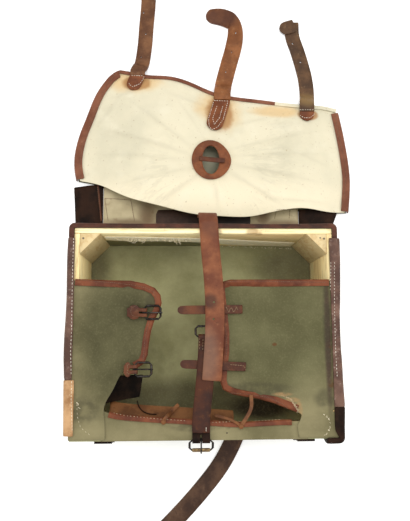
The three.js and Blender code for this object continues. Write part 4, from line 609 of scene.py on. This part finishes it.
def add_piece(name, mesh, material, body="body", nodes=()):
    data = bpy.data.meshes.new(name)
    mesh.to_mesh(data)
    mesh.free()
    piece = bpy.data.objects.new(name, data)
    bpy.context.scene.collection.objects.link(piece)
    data.materials.append(material)
    shade_smoothly(piece)
    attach(piece, body)
    if nodes:
        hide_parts(*nodes)
    return piece


def shade_smoothly(piece):
    piece.data.polygons.foreach_set("use_smooth", [True] * len(piece.data.polygons))
    piece.data.set_sharp_from_angle(angle=SHARP)


def apply_modifiers(piece):
    graph = bpy.context.evaluated_depsgraph_get()
    made = bpy.data.meshes.new_from_object(piece.evaluated_get(graph))
    piece.modifiers.clear()
    old, piece.data = piece.data, made
    bpy.data.meshes.remove(old)
    shade_smoothly(piece)


def ripple_height(point, amount, scale):
    """How far cloth rises at a place: broad waves and finer ones."""
    flat = Vector((point.x, point.y, 0.0)) / (scale * MM)
    fine = Vector((point.x, point.y, 3.0)) / (scale * 0.37 * MM)
    return amount * MM * (noise.noise(flat) + 0.45 * noise.noise(fine))


def dress(node, material, slot, levels=2, crease=0.85, ripple=0.0, scale=22.0, lift=None):
    mesh = welded(node)
    bmesh.ops.join_triangles(mesh, faces=mesh.faces, angle_face_threshold=QUAD_TURN,
                             angle_shape_threshold=QUAD_SKEW)
    layer = mesh.edges.layers.float.new("crease_edge")
    for edge in mesh.edges:
        if len(edge.link_faces) == 2 and edge.calc_face_angle(0.0) > SHARP:
            edge[layer] = crease
    piece = add_piece(node + "_dressed", mesh, material, nodes=[node])
    modifier = piece.modifiers.new("finer", "SUBSURF")
    modifier.levels = modifier.render_levels = levels
    apply_modifiers(piece)
    for vertex in piece.data.vertices:
        if ripple:
            vertex.co.z += ripple_height(vertex.co, ripple, scale)
        if lift:
            vertex.co.z += lift(vertex.co)
    return piece


def harden(node, material, bevel=0.4, body="body"):
    piece = add_piece(node + "_dressed", welded(node), material, body, [node])
    modifier = piece.modifiers.new("rounded", "BEVEL")
    modifier.width = bevel * MM
    modifier.segments = 2
    modifier.limit_method = "ANGLE"
    modifier.angle_limit = BEVELLED
    modifier.use_clamp_overlap = True
    apply_modifiers(piece)
    return piece


# %% [markdown]
# ## The box: planks, canvas and flaps
#
# Planks only need their sharp edges broken, which a small bevel does. The flaps hang slack
# between the frame and their leather edging, so they ripple more than the walls.

# %% Box
dressed = {}
for node in ("frame_top", "frame_bottom"):
    dressed[node] = harden(node, pine_across, 0.7)
for node in ("frame_left", "frame_right"):
    dressed[node] = harden(node, pine_along, 0.7)
for node in ("corner_block_left", "corner_block_right"):
    dressed[node] = harden(node, pine_block, 0.6)
dressed["canvas_body"] = harden("canvas_body", lit_inner_canvas, 0.4)
dressed["left_flap"] = dress("left_flap", flap_canvas, "canvas", ripple=0.55, scale=26.0)
dressed["right_flap"] = dress("right_flap", flap_canvas, "canvas", ripple=0.55, scale=30.0)
dressed["bottom_flap"] = dress("bottom_flap", flap_canvas, "canvas", ripple=0.25)
dressed["lining_strip"] = dress("lining_strip", torn_linen, "linen")
print(len(dressed), "pieces of the box")

# %% [markdown]
# ## Bindings and edgings
#
# The bindings are thick, hard leather, so their profile stays crisp and only wobbles a little.
# The edgings of the flaps are thinner and were cut to the cloth, so they keep their facets and
# get smooth shading.

# %% Bindings
LEATHER_SLOTS = {"tan_leather": "tan", "facing_leather": "tan", "thong_leather": "tan",
                 "black_leather": "black_leather", "shoulder_leather": "black_leather",
                 "band_leather": "black_leather"}
COVERS = {
    "binding_left": "binding_leather", "binding_right": "binding_leather",
    "binding_top": "hem_leather", "corner_patch_left": "tan_leather",
    "corner_patch_right": "black_leather", "edging_left_flap": "flap_edging_leather",
    "edging_right_flap": "flap_edging_leather", "edging_bottom_flap": "flap_edging_leather",
    "inner_leather": "shadowed_leather", "facing_strip": "facing_leather",
}


def cover(node, kind, **feel):
    """Dress a piece in a kind of leather."""
    dressed[node] = dress(node, leathers[kind], LEATHER_SLOTS.get(kind, "chestnut"), **feel)


def stiffen(node, kind):
    """Dress a piece in a kind of leather and keep its facets."""
    dressed[node] = harden(node, leathers[kind], 0.35)


for node, kind in COVERS.items():
    if node.startswith("edging"):
        stiffen(node, kind)
    else:
        cover(node, kind, crease=0.75, ripple=0.3, scale=13.0)
print("bindings done")

# %% [markdown]
# ## The lid
#
# The linen is puffed over a loose pouch, and fine wrinkles run out from the ring and from the
# sewn strap ends. They could be painted as dark lines, but real relief catches the light, so
# each wrinkle is a low ridge along a line from one place to another. Painted shade darkens the
# linen along the ridges as well.

# %% Wrinkles
WRINKLES = [
    # from x, y to x, y in mm, height and spread in mm
    ((40, 262), (190, 300), 1.1, 3.2), ((42, 252), (200, 262), 0.9, 3.0),
    ((40, 240), (188, 214), 1.2, 3.4), ((34, 232), (130, 172), 1.2, 3.6),
    ((-12, 262), (-120, 352), 1.0, 3.2), ((-14, 252), (-170, 306), 1.2, 3.4),
    ((-16, 244), (-176, 262), 0.9, 3.2), ((-12, 234), (-140, 208), 1.0, 3.4),
    ((-4, 224), (-70, 176), 1.2, 3.6), ((18, 218), (24, 166), 1.0, 3.0),
    ((4, 276), (-40, 350), 0.7, 3.0), ((44, 300), (120, 318), 0.9, 3.0),
    ((10, 330), (-60, 356), 0.8, 2.8), ((60, 322), (146, 322), 0.6, 2.6),
    ((-150, 340), (-60, 366), 0.9, 3.0), ((-160, 290), (-110, 362), 0.8, 3.0),
    ((110, 270), (206, 236), 0.7, 3.0), ((90, 190), (200, 186), 0.9, 3.2),
]
WRINKLE_WANDER = 2.0
POUCH_LEVEL = 6.0


def wrinkle_height(point):
    """How far the ridges lift a place; they fade out where the linen leaves the pouch."""
    here = Vector((point.x, point.y)) / MM
    total = 0.0
    for start, end, height, spread in WRINKLES:
        start, end = Vector(start), Vector(end)
        along = end - start
        share = min(max((here - start).dot(along) / along.length_squared, 0.0), 1.0)
        wander = WRINKLE_WANDER * noise.noise(Vector((here.x / 30, here.y / 30, height * 9)))
        away = ((here - start - along * share).length + wander) / spread
        total += height * math.sin(math.pi * min(share + 0.08, 1.0)) * math.exp(-away * away)
    return total * MM * min(max((point.z / MM - POUCH_LEVEL) / POUCH_LEVEL, 0.0), 1.0)


print(len(WRINKLES), "wrinkles in the lid")

# %% Lid
RIDGE_FULL = 1.1 * MM
WING_EDGE, WING_PUSH = 0.150, 0.010
ROOF_EDGE, ROOF_WIDER = 0.136, 0.0019
LINEN_FROM = 0.112
dressed["lid_lining"] = dress("lid_lining", linen, "linen", levels=3, ripple=0.7, scale=34.0,
                              lift=wrinkle_height)
lining = dressed["lid_lining"].data
# The ridge height is kept on the mesh so that the linen can paint shade along the wrinkles.
ridge = lining.attributes.new("ridge", "FLOAT", "POINT")
ridge_values = [min(wrinkle_height(vertex.co) / RIDGE_FULL, 1.0) for vertex in lining.vertices]
ridge.data.foreach_set("value", ridge_values)
dressed["lid_shell"] = harden("lid_shell", shell_canvas, 0.3)
dressed["roof_lining"] = dress("roof_lining", roof_linen, "linen", ripple=0.35, scale=16.0)
cover("roof_band", "band_leather", ripple=0.3)
for node in ("lid_edging_left", "lid_edging_far", "lid_edging_right"):
    cover(node, "lid_edging_leather", crease=0.6, ripple=0.3, scale=16.0)
for node in ("lid_wing_left", "lid_wing_right"):
    cover(node, "black_leather", ripple=0.4)
for vertex in dressed["lid_wing_right"].data.vertices:
    vertex.co.x += WING_PUSH * min(max((vertex.co.x - WING_EDGE) / WING_PUSH, 0.0), 1.0)
for vertex in dressed["roof_lining"].data.vertices:
    if abs(vertex.co.x) > ROOF_EDGE:
        vertex.co.x += math.copysign(ROOF_WIDER, vertex.co.x)
far_edging = dressed["lid_edging_far"].data
far_edging.materials.append(linen)
for face in far_edging.polygons:
    face.material_index = int(face.center.x > LINEN_FROM)
cover("ring_rim", "ring_leather", crease=0.3, ripple=0.6, scale=7.0)
cover("ring_bar", "chestnut_leather", crease=0.5, ripple=0.3, scale=6.0)
print(len(dressed), "pieces with the lid")

# %% [markdown]
# ## Straps and thongs
#
# A strap is a thick ribbon whose edges are rounded by wear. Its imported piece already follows
# the real bends, so it is smoothed with half-hard creases.

# %% Straps
STRAPS = {
    "lid_strap_left": "lid_strap_leather", "lid_strap_center": "bright_strap_leather",
    "lid_strap_right": "olive_strap_leather", "lid_strap_patch_left": "ring_leather",
    "lid_strap_patch_center": "ring_leather", "lid_strap_patch_right": "ring_leather",
    "center_strap": "center_strap_leather", "lower_strap": "lower_strap_leather",
    "closure_strap_upper": "chestnut_leather", "closure_strap_lower": "chestnut_leather",
    "shoulder_strap": "shoulder_leather", "thong_left": "thong_leather",
    "thong_right": "thong_leather", "thong_loop": "black_leather",
}
for node, kind in STRAPS.items():
    cover(node, kind, crease=0.7, ripple=0.2, scale=9.0)
print("straps done")

# %% [markdown]
# ## Buckles
#
# The buckle frames are bent iron wire and need smooth, round sections. Each chape is folded
# leather, and each loose prong rides on a body of its own, because it can turn on its bar.

# %% Buckles
ROLLER_MIDDLE = Vector((-5.2, -144.3, 105.8)) * MM
ROLLER_REACH, ROLLER_RADIUS = 0.0112, 0.0027
for node in ("flap_chape_upper", "flap_chape_lower"):
    stiffen(node, "chestnut_leather")
for node in ("bottom_chape", "side_chape_left", "side_chape_right"):
    stiffen(node, "black_leather")
for node in ("flap_buckle_upper", "flap_buckle_lower", "bottom_buckle", "lower_strap_buckle",
             "side_buckle_left", "side_buckle_right"):
    dressed[node] = harden(node, iron, 0.3)
for node in ("flap_prong_upper", "flap_prong_lower", "bottom_prong"):
    dressed[node] = harden(node, iron, 0.25, body=node)

roller = dressed["bottom_buckle"].data
roller.materials.append(brass)
for face in roller.polygons:
    away = face.center - ROLLER_MIDDLE
    if abs(away.x) < ROLLER_REACH and math.hypot(away.y, away.z) < ROLLER_RADIUS:
        face.material_index = 1
print(len(dressed), "pieces dressed")

# %% [markdown]
# ## Stitches
#
# A stitch is only half a millimetre thick, yet rows of them make leather look sewn. They could be
# a bump pattern, but real thread casts a shadow and may be missing here and there. So each seam
# follows a line of the photograph: a ray goes from the camera through each of its points to the
# piece, and a small rod of thread is laid along the places that it meets.

# %% Rays and rods
UPRIGHT = 0.9
turn = camera.rotation_euler.to_matrix()


def surface(*nodes):
    corners, faces = [], []
    for node in nodes:
        mesh = dressed[node].data
        start = len(corners)
        corners += [vertex.co.copy() for vertex in mesh.vertices]
        faces += [[start + corner for corner in polygon.vertices] for polygon in mesh.polygons]
    return BVHTree.FromPolygons(corners, faces)


def between(start, end, share):
    return [first + (last - first) * share for first, last in zip(start, end)]


def seen(tree, across, down):
    """Where the camera sees a surface through a pixel of the photograph, and its normal."""
    ray = turn @ Vector((across - PHOTO_WIDTH / 2, PHOTO_HEIGHT / 2 - down, -FOCAL_PIXELS))
    place, normal, _, _ = tree.ray_cast(camera.location, ray.normalized())
    return place, normal


def traced(tree, line):
    """The places that a line of the photograph meets, about 0.4 mm apart."""
    places = []
    for start, end in zip(line, line[1:]):
        steps = max(2, round(math.dist(start, end) * 3))
        for step in range(steps):
            place, normal = seen(tree, *between(start, end, step / steps))
            if place is not None:
                places.append((place, normal))
    return places


def rod(mesh, points, radii, sides=5):
    """A closed rod through the points, with a radius for each of them."""
    rings = []
    for index, point in enumerate(points):
        ahead = points[min(index + 1, len(points) - 1)] - points[max(index - 1, 0)]
        ahead.normalize()
        upright = abs(ahead.z) > UPRIGHT
        side = ahead.orthogonal() if upright else ahead.cross(Vector((0, 0, 1)))
        side.normalize()
        up = side.cross(ahead)
        angles = [2 * math.pi * corner / sides for corner in range(sides)]
        rings.append([mesh.verts.new(point + (side * math.cos(a) + up * math.sin(a)) * radii[index])
                      for a in angles])
    for first, second in zip(rings, rings[1:]):
        for corner in range(sides):
            after = (corner + 1) % sides
            mesh.faces.new((first[corner], first[after], second[after], second[corner]))
    mesh.faces.new(list(reversed(rings[0])))
    mesh.faces.new(rings[-1])


print("the camera sees", round(FOCAL_PIXELS), "pixels at a slope of one")


# %% A seam
LONGEST_GAP = 4.0
THREAD_SINK, THREAD_LIFT, THREAD_ARCH = 0.4, 0.1, 0.22
THREAD_END = 0.7


def seam(name, nodes, thread, pitch, length, width, lines):
    tree = surface(*nodes)
    mesh = bmesh.new()
    for line in lines:
        places = traced(tree, line)
        walked, due, start = 0.0, 0.0, None
        for (before, _), (here, normal) in zip(places, places[1:]):
            gap = (here - before).length / MM
            if gap > LONGEST_GAP:
                walked, due, start = 0.0, 0.0, None
                continue
            walked += gap
            if start is None and walked >= due:
                start = here + normal * THREAD_LIFT * MM
            elif start is not None and walked >= due + length:
                end = here + normal * THREAD_LIFT * MM
                middle = (start + end) / 2 + normal * THREAD_ARCH * MM
                sink = normal * THREAD_SINK * MM
                thick = width / 2 * MM * chance.uniform(0.85, 1.1)
                rod(mesh, [start - sink, start, middle, end, end - sink],
                    [thick * THREAD_END, thick, thick, thick, thick * THREAD_END])
                due += pitch * chance.uniform(0.94, 1.06)
                start = None
    return add_piece(name, mesh, thread)


print("a stitch sinks", THREAD_SINK, "mm into its leather")

# %% Seams
SEAMS = [
    # name, what it is sewn to, thread, pitch, length and width in mm, lines in pixels
    ("left_binding_seam", ["binding_left"], white_thread, 4.4, 1.9, 0.7, [
        [(73.8, 238), (72.8, 262), (72.2, 290), (71.6, 330), (70.6, 350), (71.2, 376)]]),
    ("right_binding_seams", ["binding_right"], white_thread, 4.2, 1.8, 0.65, [
        [(330.8, 262), (330.4, 300), (331.0, 340), (332.2, 364), (333.4, 404)],
        [(334.4, 262), (334.4, 300), (335.2, 340), (336.2, 362), (337.4, 380)]]),
    ("tan_patch_seam", ["corner_patch_left"], cream_thread, 4.0, 2.4, 0.6, [
        [(71.6, 381), (71.2, 400), (72.2, 431)]]),
    ("corner_seam", ["bottom_flap", "left_flap", "binding_left"], cream_thread, 5.0, 1.8, 0.35, [
        [(76.8, 404), (77.4, 417), (80, 426), (84, 431), (88.7, 434), (92, 436.6)]]),
    ("right_corner_seam", ["bottom_flap", "right_flap"], cream_thread, 4.6, 1.6, 0.35, [
        [(323, 414), (327.5, 416), (330.5, 424), (329, 432), (323, 436)]]),
    ("left_edging_seam", ["edging_left_flap"], brown_thread, 2.6, 1.7, 0.55, [
        [(78, 279.8), (92.7, 281.2), (112.7, 282.6), (132.7, 285), (145.4, 287.7), (153.5, 292),
         (156, 298), (155, 305.9), (149.6, 319.5), (146.6, 331.3), (144.6, 342.2), (143.8, 353.1),
         (143.2, 362)]]),
    ("right_edging_seam", ["edging_right_flap"], brown_thread, 2.6, 1.7, 0.55, [
        [(223.6, 282.2), (234.5, 281), (260, 281), (296.3, 281.8), (326, 282.4)],
        [(223.5, 318), (226, 333.1), (227, 347.7), (225.6, 360.4)],
        [(224.5, 392.4), (249, 394.4), (269, 397.4), (283.6, 404.6), (290.8, 411.6)]]),
    ("rim_seam", ["edging_bottom_flap"], frayed_thread, 4.2, 1.3, 0.65, [
        [(106.3, 406.4), (114.5, 413.4), (127.3, 416.0), (154.5, 418.6), (187.2, 420.8)],
        [(212, 422.4), (239.9, 421.6), (259.9, 420.8), (280, 419.6)]]),
    ("upper_closure_zigzag", ["closure_strap_upper"], orange_thread, 4.6, 4.2, 0.6, [
        [(226, 306.6), (228.6, 312.6), (231.2, 306.8), (233.8, 312.8), (236.4, 307.0),
         (239.0, 312.8)]]),
    ("lower_closure_seam", ["closure_strap_lower"], orange_thread, 3.2, 1.9, 0.65, [
        [(230, 364.6), (243.4, 365.6), (246.2, 369), (243, 373), (230, 371.4)]]),
    ("lower_strap_seam", ["lower_strap"], orange_thread, 4.0, 2.0, 0.7, [
        [(199.6, 338), (199.4, 352)], [(203.0, 339), (202.8, 352)]]),
    ("bottom_chape_seam", ["lower_strap"], white_thread, 2.8, 2.0, 0.75, [
        [(191.6, 427), (191.4, 437.5)], [(206.2, 427), (206.0, 437.5)]]),
    ("upper_tab_seam", ["flap_chape_upper"], brown_thread, 2.6, 1.8, 0.55, [
        [(141, 306), (135.4, 305.8), (131.4, 308.2), (130.6, 311.6), (131.8, 315), (135.8, 316.8),
         (141, 316.4)]]),
    ("lower_tab_seam", ["flap_chape_lower"], orange_thread, 3.0, 1.7, 0.6, [
        [(132.4, 364), (127.8, 364.4), (127.2, 373.6), (132.4, 374.2)]]),
    ("left_patch_seam", ["lid_strap_patch_left", "lid_strap_left"], white_thread, 3.6, 1.6, 0.75, [
        [(144.2, 76.2), (142.8, 80), (139.2, 84.2), (133, 86.8), (129.6, 84.8), (128.2, 81.4)],
        [(131.4, 75.4), (144.6, 76)]]),
    ("center_patch_seam", ["lid_strap_patch_center", "lid_strap_center"], white_thread,
     3.8, 1.7, 0.8, [
        [(213.6, 102), (208.6, 118.5), (209.2, 126.4), (212.0, 129.8), (217.6, 127), (223.0, 119.6),
         (227.6, 102.6)],
        [(217, 106), (212.6, 118.6), (214.4, 124.4), (219.6, 117.6), (222.8, 106)],
        [(212.6, 100.4), (229.4, 101.2)]]),
    ("right_patch_seam", ["lid_strap_patch_right", "lid_strap_right"], white_thread,
     3.6, 1.7, 0.75, [
        [(299, 111.5), (299.6, 115.2), (304, 117.8), (310, 117.8), (313.8, 115), (314.4, 111.4)],
        [(299.2, 109.8), (314.6, 109.8)]]),
    ("left_lid_seam", ["lid_edging_left"], brown_thread, 3.0, 2.0, 0.6, [
        [(80.4, 178), (80, 163.6), (82.4, 146.3), (87.8, 130.9), (95, 113.6), (101.8, 96.3),
         (106.4, 85), (116, 73.6)]]),
    ("right_lid_seam", ["lid_edging_right"], brown_thread, 3.0, 2.0, 0.6, [
        [(335, 110), (336.8, 126.3), (340.4, 142.7), (344.6, 160.9), (345.8, 179), (344, 197),
         (341, 209)]]),
    ("left_roof_boxes", ["roof_lining", "lid_lining"], brown_thread, 2.8, 2.3, 0.7, [
        [(104.5, 198.4), (117, 199), (130.9, 200), (134.5, 221)],
        [(104.7, 198.4), (108.2, 221.6)]]),
    ("right_roof_boxes", ["roof_lining", "lid_lining"], brown_thread, 2.8, 2.3, 0.7, [
        [(276.3, 210), (290, 209.2), (304.5, 209.2), (303.6, 219)], [(276.3, 210.2), (274.6, 219)],
        [(290, 209.2), (289.2, 219)]]),
    ("wing_seam", ["lid_wing_left", "roof_lining"], brown_thread, 3.0, 2.0, 0.6, [
        [(97, 184), (100.8, 222)]]),
]
sewn = [seam(*row) for row in SEAMS]
print(sum(len(piece.data.polygons) for piece in sewn), "faces in", len(sewn), "seams")

# %% [markdown]
# ## Holes, frayed threads and a rivet
#
# The straps have punched holes, cut here with a tapered drill. Frayed threads hang from the torn
# linen and from worn corners: each one is a thin rod that wanders, and chance picks its length
# and curl.

# %% Punched holes
DRILL_ABOVE, DRILL_BELOW = 3, 4
DRILL_TAPER = 0.9


def punch(node, rows):
    tree = surface(node)
    drills = bmesh.new()
    for across, down, radius in rows:
        place, normal = seen(tree, across, down)
        if place is None:
            continue
        rod(drills, [place + normal * DRILL_ABOVE * MM, place - normal * DRILL_BELOW * MM],
            [radius * MM, radius * MM * DRILL_TAPER], 12)
    data = bpy.data.meshes.new("drills")
    bmesh.ops.recalc_face_normals(drills, faces=drills.faces)
    drills.to_mesh(data)
    drills.free()
    tool = bpy.data.objects.new("drills", data)
    bpy.context.scene.collection.objects.link(tool)
    piece = dressed[node]
    modifier = piece.modifiers.new("holes", "BOOLEAN")
    modifier.object = tool
    apply_modifiers(piece)
    bpy.data.objects.remove(tool)


HOLES = {
    "lid_strap_left": [(145.7, 33.8, 1.3), (143.6, 12.5, 1.3), (141, 57, 1.0)],
    "lid_strap_center": [(235.4, 33, 1.3), (225.8, 71.8, 1.2), (231.8, 52, 1.0)],
    "lid_strap_right": [(292.6, 43.5, 1.5), (300.5, 62.2, 1.4)],
    "center_strap": [(214, 302, 1.4), (213.6, 319, 1.4)],
}
for node, rows in HOLES.items():
    punch(node, rows)
print(sum(len(rows) for rows in HOLES.values()), "holes")

# %% Frayed threads
FRAY_JOINTS = 6
FRAY_ROOT, FRAY_RADIUS, FRAY_TIP = 0.2, 0.26, 0.12


def fray(name, nodes, rows, material):
    """rows: a line in pixels, how many threads, their length in mm and the way they lean."""
    tree = surface(*nodes)
    mesh = bmesh.new()
    for start, end, count, length, lean in rows:
        for index in range(count):
            share = (index + chance.random()) / count
            place, normal = seen(tree, *between(start, end, share))
            if place is None:
                continue
            step = length * chance.uniform(0.5, 1.2) / FRAY_JOINTS
            angle = math.radians(lean + chance.uniform(-40, 40))
            bend = math.radians(chance.uniform(-32, 32))
            points = [place - normal * FRAY_ROOT * MM]
            for joint in range(FRAY_JOINTS):
                rise = 0.35 * math.sin(joint * 0.9 + 0.4)
                ahead = Vector((math.cos(angle), math.sin(angle), rise))
                points.append(points[-1] + ahead * step * MM)
                angle += bend
            rod(mesh, points, [FRAY_RADIUS * MM] * FRAY_JOINTS + [FRAY_TIP * MM], 4)
    return add_piece(name, mesh, material)


def cord(name, nodes, line, thick, material, lift):
    """A round cord that lies along a line of the photograph."""
    places = traced(surface(*nodes), line)[::4]
    points = [place + normal * lift * MM for place, normal in places]
    mesh = bmesh.new()
    rod(mesh, points, [thick / 2 * MM] * len(points), 5)
    return add_piece(name, mesh, material)


fray("torn_linen_threads", ["lining_strip", "canvas_body", "frame_top"], [
    ((112, 238), (192, 239), 30, 5.0, -90), ((132, 238), (146, 239), 12, 9.0, -70),
    ((221, 245), (300, 248), 24, 4.0, -90), ((173, 239), (181, 240), 7, 8.0, -110)], cream_thread)
fray("corner_threads", ["left_flap", "bottom_flap", "binding_left"], [
    ((75.5, 402), (78, 408), 4, 5.0, 0)], cream_thread)
fray("right_corner_threads", ["right_flap", "bottom_flap", "binding_right"], [
    ((324, 415), (331, 422), 4, 3.0, 60), ((331, 424), (325, 436), 4, 3.0, -20)], cream_thread)
fray("worn_corner_threads", ["right_flap", "edging_right_flap"], [
    ((276, 393.5), (290, 399.5), 52, 3.2, 60), ((290, 399.5), (297.5, 411), 56, 3.2, 20),
    ((297.5, 411), (288, 420.5), 44, 3.2, -40)], frayed_thread)
fray("wing_threads", ["lid_wing_left"], [((75, 188), (79, 184), 3, 12.0, 215)], cream_thread)
cord("wing_welt", ["lid_wing_left", "roof_lining"], [(98, 184), (101.2, 221)], 2.2,
     leathers["chestnut_leather"], 0.5)
print("threads are frayed")

# %% Rivet and nail
def dome(name, nodes, across, down, size, material):
    place, normal = seen(surface(*nodes), across, down)
    mesh = bmesh.new()
    bmesh.ops.create_icosphere(mesh, subdivisions=2, radius=size * MM / 2)
    bmesh.ops.scale(mesh, vec=(1, 1, 0.5), verts=mesh.verts)
    turned = normal.to_track_quat("Z", "Y").to_matrix()
    bmesh.ops.transform(mesh, matrix=turned.to_4x4(), verts=mesh.verts)
    bmesh.ops.translate(mesh, vec=place, verts=mesh.verts)
    return add_piece(name, mesh, material)


dome("corner_rivet", ["binding_right", "corner_patch_right", "right_flap"], 334, 411, 3.4, brass)
dome("flap_nail", ["bottom_flap"], 227, 433, 1.8, iron)
print("rivet and nail are set")
